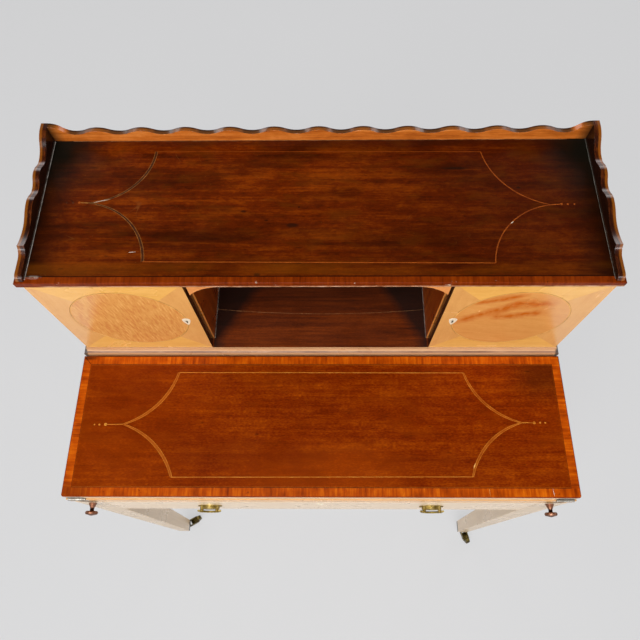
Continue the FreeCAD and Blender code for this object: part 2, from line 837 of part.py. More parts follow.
def gallery_side():
    """Crest that falls from the corner in waves to a cusp, a scoop and a low rounded nose."""

    def at(run, height):
        return vector(-gallery_outer_x, gallery_back_y - run, top_top_z + height)

    wave_length = gallery_side_run * gallery_side_wave_share
    trough_run = gallery_side_run * gallery_side_trough_share
    levels = [at(0, gallery_corner_height), at(gallery_back_thickness, gallery_corner_height)]
    for index in range(gallery_side_waves):
        levels.append(at(trough_run, gallery_trough_height))
        levels.append(at(trough_run + wave_length / 2, gallery_peak_height))
        trough_run += wave_length
    last_trough = at(gallery_side_run * gallery_last_trough_share, gallery_trough_height)
    levels.append(last_trough)
    cusp_run = gallery_side_run * gallery_cusp_share
    scoop_run = gallery_side_run * gallery_scoop_share
    nose_run = gallery_side_run - gallery_nose_height
    edges = wave_edges(levels)
    edges += [level_arc(last_trough, at(cusp_run, gallery_cusp_height)),
              level_arc(at(scoop_run, gallery_nose_height), at(cusp_run, gallery_cusp_height)),
              line(at(scoop_run, gallery_nose_height), at(nose_run, gallery_nose_height)),
              level_arc(at(nose_run, gallery_nose_height), at(gallery_side_run, 0)),
              line(at(gallery_side_run, 0), at(0, 0)), line(at(0, 0), at(0, gallery_corner_height))]
    return prism(Part.sortEdges(edges)[0], X_AXIS * gallery_side_thickness)


# Casters, built about their swivel axis with the wheel trailing along +X

def caster_plate():
    """Round plate under the foot with a headed pin that carries the fork."""
    plate_z = foot_z - caster_plate_thickness
    hub_bottom = plate_z - caster_gap - caster_hub_height
    head_top = hub_bottom - caster_gap
    plate = Part.makeCylinder(caster_plate_radius, caster_plate_thickness, vector(0, 0, plate_z))
    pin = Part.makeCylinder(caster_pin_radius, plate_z - head_top, vector(0, 0, head_top))
    head = Part.makeCylinder(caster_pin_head_radius, caster_pin_head_thickness,
                             vector(0, 0, head_top - caster_pin_head_thickness))
    return plate.fuse([pin, head]).removeSplitter()


def caster_fork():
    """Bored hub, a bridge behind it and two curved cheeks that hold the axle."""
    hub_top = foot_z - caster_plate_thickness - caster_gap
    hub_bottom = hub_top - caster_hub_height
    inner = caster_wheel_width / 2 + caster_cheek_gap
    outer = inner + caster_cheek_thickness
    axle = vector(caster_trail, 0, caster_wheel_radius)
    hub = Part.makeCylinder(caster_hub_radius, caster_hub_height, vector(0, 0, hub_bottom))

    def at(x, z):
        return vector(x, -outer, z)

    eye_center = at(caster_trail, caster_wheel_radius)
    eye_top = eye_center + vector(0, 0, caster_eye_radius)
    eye_end = eye_center + vector(caster_eye_radius, 0, 0)
    eye_bottom = eye_center - vector(0, 0, caster_eye_radius)
    heel_top = at(0, hub_top)
    heel_bottom = at(0, hub_bottom)
    edges = [line(heel_bottom, heel_top),
             bulged(heel_top, eye_top, Z_AXIS * caster_cheek_crest),
             arc(eye_top, eye_end, eye_bottom),
             bulged(eye_bottom, heel_bottom, Z_AXIS * -caster_cheek_belly)]
    cheeks = prism(edges, Y_AXIS * (2 * outer))
    past_wheel = caster_trail + 2 * caster_wheel_radius
    wheel_space = block((caster_crown_reach, past_wheel), (-inner, inner), (0, foot_z))
    sweep_radius = caster_wheel_radius + caster_wheel_clearance
    wheel_sweep = Part.makeCylinder(sweep_radius, 2 * inner, axle - Y_AXIS * inner, Y_AXIS)
    body = cheeks.cut([wheel_space, wheel_sweep]).fuse(hub)
    pin_space = Part.makeCylinder(caster_pin_radius + caster_fit_clearance, foot_z, ORIGIN)
    head_space = Part.makeCylinder(caster_pin_head_radius + caster_gap, hub_bottom, ORIGIN)
    body = body.cut([pin_space, head_space])
    axle_pin = Part.makeCylinder(caster_axle_radius, 2 * outer, axle - Y_AXIS * outer, Y_AXIS)
    return body.fuse(axle_pin).removeSplitter()


def caster_wheel():
    """Bored roller with bevelled edges."""
    half = caster_wheel_width / 2
    bore = caster_axle_radius + caster_fit_clearance
    rim = caster_wheel_radius - caster_tread_bevel
    shoulder = half - caster_tread_bevel
    outline = [(bore, -half), (rim, -half), (caster_wheel_radius, -shoulder),
               (caster_wheel_radius, shoulder), (rim, half), (bore, half)]
    points = [vector(caster_trail, side, caster_wheel_radius + radius) for radius, side in outline]
    section = Part.Face(Part.makePolygon(points + points[:1]))
    return section.revolve(vector(caster_trail, 0, caster_wheel_radius), Y_AXIS, 360)


def caster_places():
    """Name, leg corner and direction of each caster; opposite corners point opposite ways."""
    reach_x = half_width - leg_toe_size / 2
    reach_y = back_y - leg_toe_size / 2
    return [("front_left", -reach_x, -reach_y, front_left_caster_angle),
            ("front_right", reach_x, -reach_y, front_right_caster_angle),
            ("back_left", -reach_x, reach_y, front_right_caster_angle + 180),
            ("back_right", reach_x, reach_y, front_left_caster_angle + 180)]


def placed_caster(shape, x, y, angle):
    piece = shape.copy()
    piece.rotate(ORIGIN, Z_AXIS, angle)
    piece.translate(vector(x, y, 0))
    return piece


# Assembly

def pair(name, left):
    return {name + "_left": left, name + "_right": mirrored(left)}


def stand_parts():
    parts = pair("leg_front", front_leg())
    parts.update(pair("leg_back", front_to_back(tapered_leg())))
    parts.update(pair("side_rail", side_rail()))
    parts["back_rail"] = back_rail()
    parts["front_rail"] = front_rail()
    parts.update(pair("drawer_runner", drawer_runner()))
    parts.update(pair("loper_guide", loper_guide()))
    parts.update(pair("loper", loper()))
    parts.update(pair("loper_knob", loper_knob()))
    return parts


def writing_parts():
    bed_leaf = bed_hinge_piece(fixed_leaf)
    flap_leaf = flap_hinge_piece(moving_leaf)
    return {"writing_bed": writing_bed(),
            "bed_lining": bed_lining(),
            "bed_hinge_leaves": Part.makeCompound([bed_leaf, mirrored(bed_leaf)]),
            "writing_flap": writing_flap(),
            "flap_lining": flap_lining(),
            "flap_hinge_leaves": Part.makeCompound([flap_leaf, mirrored(flap_leaf)])}


def drawer_parts():
    parts = {"drawer_front": drawer_front(),
             "drawer_back": drawer_back(),
             "drawer_bottom": drawer_bottom(),
             "drawer_escutcheon": keyhole_plate(drawer_keyhole()),
             "handle_plates": Part.makeCompound([handle_plate(side) for side in (-1, 1)]),
             "handle_bail_left": drawer_bail(-1),
             "handle_bail_right": drawer_bail(1)}
    parts.update(pair("drawer_side", drawer_side()))
    return parts


def cabinet_parts():
    side_leaves = cabinet_side_hinge_pieces(fixed_leaf)
    all_side_leaves = side_leaves + [mirrored(leaf) for leaf in side_leaves]
    parts = {"plinth_moulding": plinth_moulding(),
             "cabinet_floor": cabinet_floor(),
             "cabinet_back": cabinet_back(),
             "arched_apron": arched_apron(),
             "cabinet_top": cabinet_top(),
             "cabinet_hinge_leaves": Part.makeCompound(all_side_leaves),
             "gallery_back": gallery_back()}
    parts.update(pair("cabinet_side", cabinet_side()))
    parts.update(pair("partition", partition()))
    parts.update(pair("gallery", gallery_side()))
    parts.update(pair("door", cupboard_door()))
    parts.update(pair("door_hinge_leaves", Part.makeCompound(door_side_hinge_pieces(moving_leaf))))
    parts.update(pair("door_escutcheon", keyhole_plate(door_keyhole())))
    return parts


def caster_parts():
    parts = {}
    plates = []
    for name, x, y, angle in caster_places():
        plates.append(placed_caster(caster_plate(), x, y, angle))
        parts["caster_fork_" + name] = placed_caster(caster_fork(), x, y, angle)
        parts["caster_wheel_" + name] = placed_caster(caster_wheel(), x, y, angle)
    parts["caster_plates"] = Part.makeCompound(plates)
    return parts


os.makedirs("parts", exist_ok=True)
for make_parts in (stand_parts, writing_parts, drawer_parts, cabinet_parts, caster_parts):
    for node, shape in make_parts().items():
        shape.exportStep("parts/" + node + ".step")
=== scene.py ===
import math

import bmesh
import bpy
from mathutils import Matrix, Vector


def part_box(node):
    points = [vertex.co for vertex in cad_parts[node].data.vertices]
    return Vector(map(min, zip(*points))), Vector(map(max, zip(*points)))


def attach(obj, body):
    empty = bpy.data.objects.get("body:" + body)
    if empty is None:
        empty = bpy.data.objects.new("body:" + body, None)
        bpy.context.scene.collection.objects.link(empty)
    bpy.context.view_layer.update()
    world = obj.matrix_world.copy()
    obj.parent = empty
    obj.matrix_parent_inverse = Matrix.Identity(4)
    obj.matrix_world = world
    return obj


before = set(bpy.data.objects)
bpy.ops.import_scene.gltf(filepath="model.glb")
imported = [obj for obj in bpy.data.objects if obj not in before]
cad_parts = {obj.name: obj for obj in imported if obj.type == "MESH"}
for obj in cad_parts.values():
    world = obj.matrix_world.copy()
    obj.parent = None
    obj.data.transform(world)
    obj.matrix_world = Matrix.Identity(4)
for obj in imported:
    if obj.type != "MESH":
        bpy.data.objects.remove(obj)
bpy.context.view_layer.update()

# The looks of a bonheur du jour: woods, inlays, brass, bone, floor, light and camera. Metres, Z up.

MM = 0.001

# Camera, as fitted to the photograph
camera_place = Vector((11.35, -318.4, 1638.4)) * MM
camera_pitch_down = 66.767
camera_yaw = -1.836
camera_roll = 1.743
focal_length_px = 588.72
image_width_px = 640
sensor_width_mm = 36.0

# How far an inlay stands over the wood around it and how deep it is let in
inlay_proud = 0.05 * MM
inlay_step = 0.03 * MM
inlay_depth = 0.4 * MM
string_width = 0.9 * MM
crescent_count = 25
point_widths = (1.3 * MM, 0.6 * MM)
dot_sides = 20

# Inlay on the flap: mm to the right of the middle, mm back from the front edge
flap_marks = {
    "left": {"back_root": (-221.3, 188.0), "back_middle": (-245.5, 140.5), "tip": (-299.0, 106.0),
             "front_middle": (-248.0, 76.0), "front_root": (-217.4, 27.8),
             "dots": ((-325.1, 105.6), (-334.4, 105.4), (-341.9, 105.4))},
    "right": {"back_root": (223.0, 187.5), "back_middle": (249.7, 140.3), "tip": (304.0, 109.0),
              "front_middle": (251.0, 78.3), "front_root": (222.6, 29.2),
              "dots": ((322.1, 108.9), (331.0, 109.1), (338.6, 108.9))},
}
flap_crescent_widths = {"left": (2.2, 3.4, 0.9), "right": (1.6, 3.0, 0.9)}
flap_dot_radii = (2.3, 1.5, 1.2)
flap_end_band = 12.4 * MM
flap_front_band = 11.8 * MM
flap_side_band = 11.4 * MM
flap_bare_edge = 1.3 * MM
flap_crescent_edge = 0.45 * MM
band_string_insets = {"dark": 0.4 * MM, "light": 1.2 * MM}
band_string_width = 0.7 * MM
mitre_outer_gap = 1.0 * MM
mitre_inner_gap = 0.4 * MM
mitre_widths = (1.3 * MM, 0.8 * MM)

# Inlay on the cabinet top, measured in the same way
top_marks = {
    "left": {"back_root": (-218.3, 198.5), "back_middle": (-240.3, 144.6), "tip": (-297.7, 116.7),
             "front_middle": (-240.8, 87.5), "front_root": (-217.0, 30.0),
             "dots": ((-309.4, 117.1), (-317.6, 117.0), (-326.0, 117.0))},
    "right": {"back_root": (216.0, 196.0), "back_middle": (242.8, 142.4), "tip": (297.5, 111.6),
              "front_middle": (241.5, 83.0), "front_root": (217.2, 27.3),
              "dots": ((310.4, 112.5), (318.4, 112.4), (326.8, 112.4))},
}
top_crescent_widths = {"left": (3.0, 2.5, 0.7), "right": (0.5, 0.7, 0.3)}
top_dot_radii = (1.6, 1.4, 1.1)
top_band = 9.0 * MM
top_arris = 3.0 * MM
top_crescent_edge = 0.35 * MM

# Dark marks on the cabinet top, in mm: place from the middle of the desk, half length and half width
dark_spots = (
    (-74.5, 15.0, 5.0, 3.0), (-96.0, 106.0, 4.5, 2.0), (-25.0, 112.0, 1.6, 1.6), (-66.0, 92.0, 3.0, 1.4),
    (-33.0, 85.0, 9.0, 4.0), (-24.0, 31.0, 4.5, 1.8), (259.0, 141.0, 3.5, 2.0), (180.0, 172.0, 22.0, 2.6),
)

# Pale scratches and lifted strings, two of them on the top with a painted glint, in mm from the middle of
# the desk: start, end and middle width
worn_marks = {
    "flap_band_crack": ((336.4, -217.0), (335.6, -206.0), 0.9),
    "flap_band_crack_inner": ((244.7, -217.0), (244.5, -206.5), 0.6),
    "flap_string_lifted": ((224.6, -178.5), (228.2, -170.0), 1.9),
    "top_string_lifted_glint": ((-291.0, 120.2), (-270.0, 125.4), 1.0),
    "top_string_worn_glint": ((246.5, 89.8), (242.5, 86.8), 1.1),
    "top_scratch": ((-236.0, 46.2), (-227.0, 47.0), 0.6),
}
worn_tip = 0.2

# Wear, dirt, painted shade and a painted reflection: where each begins and where it is full, in metres from
# the middle of the desk or from the edge named
dull_corner_x = (-0.325, -0.345)
dull_corner_y = (-0.195, -0.205)
dark_corner = (-0.364, -0.006)
dark_corner_reach = (0.014, 0.005)
top_right_shade = (0.0, 0.26)
top_right_fade = (0.02, 0.1)
top_front_painted_shade = (0.13, 0.03)
top_front_rim = (0.012, 0.028)
top_side_dirt_and_shade = 0.05
top_back_dirt_and_shade = 0.012
top_corner_dirt_and_shade_x = (0.02, 0.085)
top_corner_dirt_and_shade_y = (0.03, 0.11)
top_rub = (-0.348, 0.0085)
top_rub_reach = (0.011, 0.003)
arris_start = (-0.345, -0.33)
flap_light_side = (-0.12, -0.3)
flap_rub = (0.0, 0.035)
flap_rub_reach = (0.16, 0.05)
flap_stain_x = (0.28, 0.33)
flap_stain_y = (0.13, 0.17)
recess_dusk = (0.015, 0.1)
recess_shadow_wedge_depth = 0.09
recess_shadow_wedge_widths = (0.012, 0.068)
crest_corner = (0.343, 0.359)
toe_height = 0.015
toe_line = 0.0015

# Fine lines along the foot of the gallery and on the floor of the recess
gallery_line_widths = {"left": 0.7 * MM, "right": 0.6 * MM, "back": 0.6 * MM}
gallery_side_line_gap = 0.7 * MM
gallery_side_line_front = 5.0 * MM
gallery_side_line_back = 0.5 * MM
gallery_back_line_gap = 0.6 * MM
gallery_back_line_short = 25.0 * MM
recess_line_gap = 0.6 * MM
recess_line_width = 0.8 * MM
recess_line_run = (22.0 * MM, 215.0 * MM)
recess_joint_gap = 1.2 * MM
recess_joint_depths = (71.5 * MM, 70.5 * MM)
recess_joint_middle = (15.0 * MM, 63.3 * MM)
recess_joint_width = 0.5 * MM
recess_joint_count = 13

# Door inlay, from the door's middle
oval_half_width = 78.0 * MM
oval_half_height = 86.0 * MM
oval_inward = 3.3 * MM
oval_sides = 72
oval_string_count = 96
oval_line_outward = 0.8 * MM
oval_line_width = 0.6 * MM
door_bare_edge = 0.5 * MM

# Flames in the right oval: start, end and width, in mm from the middle of the desk and the ground
flame_runs = (((194.0, 878.0), (262.0, 932.0), 19.0), ((252.0, 933.0), (308.0, 937.0), 20.0),
              ((205.0, 938.0), (262.0, 962.0), 12.0), ((236.0, 893.0), (304.0, 907.0), 15.0))

# Keyhole, from the lowest point of its plate
keyhole_rise = 13.0 * MM
keyhole_radius = 1.8 * MM
keyhole_slot_half = 0.9 * MM
keyhole_slot_length = 6.8 * MM
keyhole_sides = 24

# Rounding of the arrises of the solids
bevel_segments = 3
bevel_angle = 40
weld_reach = 0.01 * MM

# Lamps: place, the point that each faces, width in metres and power in watts
key_lamp = ((-0.4, -1.6, 3.4), (0.0, 0.0, 0.8), 2.4, 94.0)
front_lamp = ((1.7, -2.4, 2.4), (0.0, 0.0, 1.0), 0.7, 9.0)
back_lamp = ((1.7, 2.5, 2.25), (0.0, 0.0, 1.0), 1.2, 8.0)

# Floor, and the room's light from its walls to its dim ceiling
floor_half = 6.0
floor_glow_share = 0.72
room_stops = ((0.38, (1.0, 1.01, 1.03, 1.0)), (0.7, (0.03, 0.03, 0.03, 1.0)))
room_strength = 0.9


def srgb(red, green, blue):
    """A colour as it looks on screen, 0 to 255, in the shader's linear values."""

    def linear(value):
        value = value / 255
        return value / 12.92 if value <= 0.04045 else ((value + 0.055) / 1.055) ** 2.4

    return (linear(red), linear(green), linear(blue), 1.0)


class Graph:
    """Short names for building a material's nodes."""

    def __init__(self, name):
        self.material = bpy.data.materials.new(name)
        self.material.use_nodes = True
        self.tree = self.material.node_tree
        self.shader = self.tree.nodes["Principled BSDF"]
        self.color = None

    def node(self, kind, settings=None, inputs=None):
        made = self.tree.nodes.new(kind)
        for key, value in (settings or {}).items():
            setattr(made, key, value)
        for key, value in (inputs or {}).items():
            self.feed(made.inputs[key], value)
        return made

    def feed(self, socket, value):
        if isinstance(value, bpy.types.NodeSocket):
            self.tree.links.new(value, socket)
        else:
            socket.default_value = value

    def place(self):
        return self.node("ShaderNodeTexCoord").outputs["Object"]

    def turned(self, vector, angles):
        return self.node("ShaderNodeMapping", {}, {"Vector": vector, "Rotation": angles}).outputs[0]

    def facing(self):
        return self.parts(self.node("ShaderNodeTexCoord").outputs["Normal"])

    def parts(self, vector):
        return self.node("ShaderNodeSeparateXYZ", {}, {0: vector}).outputs

    def math(self, operation, first, second=0.0, clamp=False):
        settings = {"operation": operation, "use_clamp": clamp}
        return self.node("ShaderNodeMath", settings, {0: first, 1: second}).outputs[0]

    def times(self, first, second):
        return self.math("MULTIPLY", first, second)

    def plus(self, first, second):
        return self.math("ADD", first, second)

    def minus(self, first, second, clamp=False):
        return self.math("SUBTRACT", first, second, clamp)

    def size(self, value):
        """A number without its sign."""
        return self.math("ABSOLUTE", value)

    def spread(self, noises):
        """0.5 with each noise's swing about its own middle added, by its weight."""
        total = 0.5
        for value, weight in noises:
            total = self.plus(total, self.times(self.minus(value, 0.5), weight))
        return self.math("ADD", total, 0.0, clamp=True)

    def noise(self, vector, scale, detail=3.0, roughness=0.55, distortion=0.0):
        """Noise with a scale for each axis, or with one scale for all three."""
        scales = scale if isinstance(scale, tuple) else (scale, scale, scale)
        scaled = self.node("ShaderNodeVectorMath", {"operation": "MULTIPLY"}, {0: vector, 1: scales})
        inputs = {"Vector": scaled.outputs[0], "Scale": 1.0, "Detail": detail, "Roughness": roughness,
                  "Distortion": distortion}
        return self.node("ShaderNodeTexNoise", {}, inputs).outputs["Fac"]

    def range(self, value, low, high, to_low=0.0, to_high=1.0):
        inputs = {"Value": value, "From Min": low, "From Max": high, "To Min": to_low, "To Max": to_high}
        return self.node("ShaderNodeMapRange", {"clamp": True}, inputs).outputs[0]

    def between(self, value, low, high, soft):
        """1 between two values and 0 outside them, with soft ends."""
        rise = self.range(value, low - soft, low + soft)
        fall = self.range(value, high - soft, high + soft, 1.0, 0.0)
        return self.times(rise, fall)

    def ramp(self, value, stops):
        made = self.node("ShaderNodeValToRGB", {}, {"Fac": value})
        elements = made.color_ramp.elements
        while len(elements) < len(stops):
            elements.new(0.5)
        for element, (place, color) in zip(elements, stops):
            element.position = place
            element.color = srgb(*color)
        return made.outputs["Color"]

    def mix(self, amount, first, second):
        first, second = (srgb(*tone) if isinstance(tone, tuple) else tone for tone in (first, second))
        inputs = {0: amount, 6: first, 7: second}
        return self.node("ShaderNodeMix", {"data_type": "RGBA"}, inputs).outputs[2]

    def paint(self, amount, tone):
        """Lay a tone over the material's colour, by an amount from 0 to 1."""
        self.color = self.mix(amount, self.color, tone)

    def bump(self, height, distance, strength=1.0):
        inputs = {"Height": height, "Distance": distance, "Strength": strength}
        self.feed(self.shader.inputs["Normal"], self.node("ShaderNodeBump", {}, inputs).outputs["Normal"])

    def set(self, **values):
        for key, value in values.items():
            self.feed(self.shader.inputs[key.replace("_", " ")], value)


def grain_scale(along, long_scale, cross_scale):
    return tuple(long_scale if axis == along else cross_scale for axis in "xyz")


def wood(name, dark, middle, light, along="x", turn=None, bands=60.0, fibres=420.0, contrast=1.0,
         blotches=0.3, mottle=0.15, grit=0.25, gloss=0.3, shine=0.5, relief=0.25, pores=0.45,
         overlay=None):
    """Polished wood: streaks, fine fibres, mottle, grit, short dark pores and blotches of age."""
    graph = Graph(name)
    part_place = graph.place()
    place = part_place if turn is None else graph.turned(part_place, turn)
    streak = graph.noise(place, grain_scale(along, 5.0, bands), 5.0, 0.62, 0.4)
    fibre = graph.noise(place, grain_scale(along, 24.0, fibres), 3.0, 0.6)
    grain = graph.noise(place, grain_scale(along, 240.0, 700.0), 2.0, 0.5)
    pore = graph.noise(place, grain_scale(along, 120.0, 1300.0), 2.0, 0.5)
    patch = graph.noise(place, (9.0, 14.0, 9.0), 4.0, 0.6, 0.8)
    cloudy = graph.noise(place, grain_scale(along, 55.0, 110.0), 4.0, 0.65, 0.5)
    tone = graph.spread([(streak, 1.5 * contrast), (fibre, 0.7 * contrast), (cloudy, 2 * mottle),
                         (grain, grit), (patch, 2 * blotches)])
    graph.color = graph.ramp(tone, [(0.0, dark), (0.5, middle), (1.0, light)])
    speck = graph.range(pore, 0.62, 0.74, 0.0, pores)
    graph.paint(speck, dark)
    if overlay is not None:
        overlay(graph, part_place)
    rough = graph.range(patch, 0.3, 0.7, gloss - 0.04, gloss + 0.06)
    graph.set(Base_Color=graph.color, Roughness=rough, Specular_IOR_Level=shine)
    graph.bump(graph.minus(fibre, graph.times(speck, 0.6)), 0.1 * MM, relief)
    return graph.material


def crossband_color(graph, place, along, dark, middle, light):
    """Veneer cut across the grain: narrow bright and dark stripes square to the band's edge."""
    stripe = graph.noise(place, grain_scale(along, 230.0, 18.0), 4.0, 0.6, 0.2)
    patch = graph.noise(place, 34.0, 4.0, 0.6)
    tone = graph.plus(graph.times(stripe, 0.9), graph.times(patch, 0.7))
    tone = graph.minus(tone, 0.3, clamp=True)
    color = graph.ramp(tone, [(0.25, dark), (0.5, middle), (0.75, light)])
    fleck = graph.noise(place, 120.0, 2.0, 0.6)
    return graph.mix(graph.range(fleck, 0.68, 0.74, 0.0, 0.7), color, dark)


def crossbanding(name, along):
    """Bright crossbanding, duller at the near left corner of the flap and dark at the far left one."""
    graph = Graph(name)
    place = graph.place()
    graph.color = crossband_color(graph, place, along, (120, 40, 0), (174, 70, 0), (210, 104, 8))
    x, y = graph.parts(place)[:2]
    corner = graph.times(graph.range(x, *dull_corner_x), graph.range(y, *dull_corner_y))
    graph.paint(graph.times(corner, 0.6), (104, 36, 2))
    far_corner = graph.times(spot(graph, x, y, dark_corner, *dark_corner_reach), 0.6)
    graph.paint(far_corner, (60, 30, 8))
    graph.set(Base_Color=graph.color, Roughness=0.34, Specular_IOR_Level=0.12)
    return graph.material


def plain_inlay(name, dark, light):
    """A thin string, dot or line, a little uneven in tone."""
    graph = Graph(name)
    patch = graph.noise(graph.place(), 90.0, 3.0, 0.6)
    color = graph.ramp(patch, [(0.3, dark), (0.7, light)])
    graph.set(Base_Color=color, Roughness=0.4, Specular_IOR_Level=0.12)
    return graph.material


def aged_metal(name, dark, middle, light, overlay=None):
    """Metal with brown tarnish in patches and fine scratches."""
    graph = Graph(name)
    place = graph.place()
    tarnish = graph.noise(place, 160.0, 5.0, 0.6)
    scratch = graph.noise(place, (900.0, 900.0, 120.0), 2.0, 0.5)
    graph.color = graph.ramp(tarnish, [(0.3, dark), (0.5, middle), (0.72, light)])
    if overlay is not None:
        overlay(graph, place)
    rough = graph.range(tarnish, 0.3, 0.7, 0.5, 0.28)
    graph.set(Base_Color=graph.color, Metallic=1.0, Roughness=rough)
    graph.bump(scratch, 0.05 * MM, 0.3)
    return graph.material


def bone():
    graph = Graph("bone")
    place = graph.place()
    streak = graph.noise(place, (700.0, 700.0, 160.0), 4.0, 0.6)
    color = graph.ramp(streak, [(0.25, (205, 186, 150)), (0.6, (240, 228, 202))])
    graph.set(Base_Color=color, Roughness=0.35)
    return graph.material


def leather():
    """Green writing leather with a fine pebbled grain."""
    graph = Graph("leather")
    place = graph.place()
    pebble = graph.noise(place, 900.0, 2.0, 0.5)
    patch = graph.noise(place, 14.0, 4.0, 0.6)
    color = graph.ramp(patch, [(0.3, (38, 52, 34)), (0.7, (66, 82, 52))])
    graph.set(Base_Color=color, Roughness=0.55)
    graph.bump(pebble, 0.12 * MM, 0.5)
    return graph.material


def floor_paper():
    """Pale paper that the camera and reflections see nearly even, with a faint shadow."""
    graph = Graph("floor_paper")
    patch = graph.noise(graph.place(), 1.2, 3.0, 0.5)
    graph.set(Base_Color=graph.ramp(patch, [(0.3, (219, 219, 220)), (0.7, (223, 223, 223))]),
              Roughness=0.9)
    path = graph.node("ShaderNodeLightPath").outputs
    seen = graph.math("MAXIMUM", path["Is Camera Ray"], path["Is Glossy Ray"])
    seen = graph.math("MAXIMUM", seen, path["Is Transmission Ray"])
    glow = graph.node("ShaderNodeEmission", {}, {"Color": srgb(216, 216, 217), "Strength": 1.0})
    share = graph.times(seen, floor_glow_share)
    paper = graph.shader.outputs[0]
    blend = graph.node("ShaderNodeMixShader", {}, {0: share, 1: paper, 2: glow.outputs[0]})
    graph.feed(graph.tree.nodes["Material Output"].inputs["Surface"], blend.outputs[0])
    return graph.material


# Building pieces in mesh code

def add_piece(name, vertices, faces, material, body):
    mesh = bpy.data.meshes.new(name)
    mesh.from_pydata([tuple(vertex) for vertex in vertices], [], faces)
    shell = bmesh.new()
    shell.from_mesh(mesh)
    bmesh.ops.recalc_face_normals(shell, faces=shell.faces)
    shell.to_mesh(mesh)
    shell.free()
    mesh.materials.append(material)
    piece = bpy.data.objects.new(name, mesh)
    bpy.context.scene.collection.objects.link(piece)
    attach(piece, body)
    return piece


def slab(name, outline, place, material, body, level=0):
    """A thin flat inlay with the given outline, let into the surface that place() lies on."""
    top = inlay_proud + level * inlay_step
    count = len(outline)
    vertices = [place(u, v, top) for u, v in outline] + [place(u, v, -inlay_depth) for u, v in outline]
    faces = [tuple(range(count)), tuple(range(2 * count - 1, count - 1, -1))]
    faces += [(i, (i + 1) % count, count + (i + 1) % count, count + i) for i in range(count)]
    return add_piece(name, vertices, faces, material, body)


def ribbon(name, points, widths, place, material, body, level=0, closed=False):
    """A thin flat string along points, with a width at each of them."""
    top = inlay_proud + level * inlay_step
    count = len(points)
    vertices = []
    for index, (point, width) in enumerate(zip(points, widths)):
        before = points[index - 1] if closed or index > 0 else point
        after = points[(index + 1) % count] if closed or index < count - 1 else point
        direction = Vector(after) - Vector(before)
        across = Vector((-direction.y, direction.x)).normalized() * (width / 2)
        for side, height in ((1, top), (-1, top), (-1, -inlay_depth), (1, -inlay_depth)):
            vertices.append(place(point[0] + side * across.x, point[1] + side * across.y, height))
    faces = []
    for index in range(count if closed else count - 1):
        here, there = 4 * index, 4 * ((index + 1) % count)
        for corner in range(4):
            other = (corner + 1) % 4
            faces.append((here + corner, here + other, there + other, there + corner))
    if not closed:
        faces += [(3, 2, 1, 0), tuple(4 * (count - 1) + corner for corner in range(4))]
    return add_piece(name, vertices, faces, material, body)


def arc_points(start, middle, end, count):
    """Evenly spaced points on the circle through three points."""
    a, b, c = Vector(start), Vector(middle), Vector(end)
    square_a, square_b, square_c = a.length_squared, b.length_squared, c.length_squared
    divisor = 2 * (a.x * (b.y - c.y) + b.x * (c.y - a.y) + c.x * (a.y - b.y))
    x = (square_a * (b.y - c.y) + square_b * (c.y - a.y) + square_c * (a.y - b.y)) / divisor
    y = (square_a * (c.x - b.x) + square_b * (a.x - c.x) + square_c * (b.x - a.x)) / divisor
    center = Vector((x, y))
    first = math.atan2(a.y - y, a.x - x)
    last = math.atan2(c.y - y, c.x - x)
    sweep = (last - first + math.pi) % math.tau - math.pi
    radius = (a - center).length
    turns = [first + sweep * step / (count - 1) for step in range(count)]
    return [(x + radius * math.cos(turn), y + radius * math.sin(turn)) for turn in turns]


def oval_points(center, half_width, half_height, count):
    x, y = center
    turns = [math.tau * step / count for step in range(count)]
    return [(x + half_width * math.cos(turn), y + half_height * math.sin(turn)) for turn in turns]


def rectangle(x_low, y_low, x_high, y_high):
    return [(x_low, y_low), (x_high, y_low), (x_high, y_high), (x_low, y_high)]


# Signs of age and use, and painted shade, shadow and reflection, that lie over the plain woods

def flecks(graph, place, dark, pale):
    """Short dark flecks along the grain, fine pale hairlines and specks."""
    fleck = graph.noise(place, (58.0, 230.0, 58.0), 2.0, 0.5, 0.4)
    graph.paint(graph.range(fleck, 0.70, 0.77, 0.0, 0.7), dark)
    hair = graph.noise(place, (11.0, 16.0, 11.0), 1.0, 0.4, 1.2)
    where = graph.range(graph.noise(place, 23.0, 1.0), 0.6, 0.7, 0.0, 0.3)
    line = graph.times(graph.between(hair, 0.4985, 0.5015, 0.001), where)
    graph.paint(line, pale)
    speck = graph.noise(place, 420.0, 1.0)
    graph.paint(graph.range(speck, 0.77, 0.81, 0.0, 0.5), pale)


def spot(graph, x, y, center, reach_x, reach_y):
    """1 in the middle of an oval spot, falling to 0 at its edge."""
    across = graph.math("DIVIDE", graph.minus(x, center[0]), reach_x)
    along = graph.math("DIVIDE", graph.minus(y, center[1]), reach_y)
    square = graph.plus(graph.times(across, across), graph.times(along, along))
    return graph.range(square, 1.0, 0.2)


def uneven_gap(graph, distance, place, swing):
    """A distance that wanders a little, for the soft edges of dirt and of painted shade."""
    uneven = graph.noise(place, 30.0, 3.0)
    return graph.plus(distance, graph.times(graph.minus(uneven, 0.5), swing))


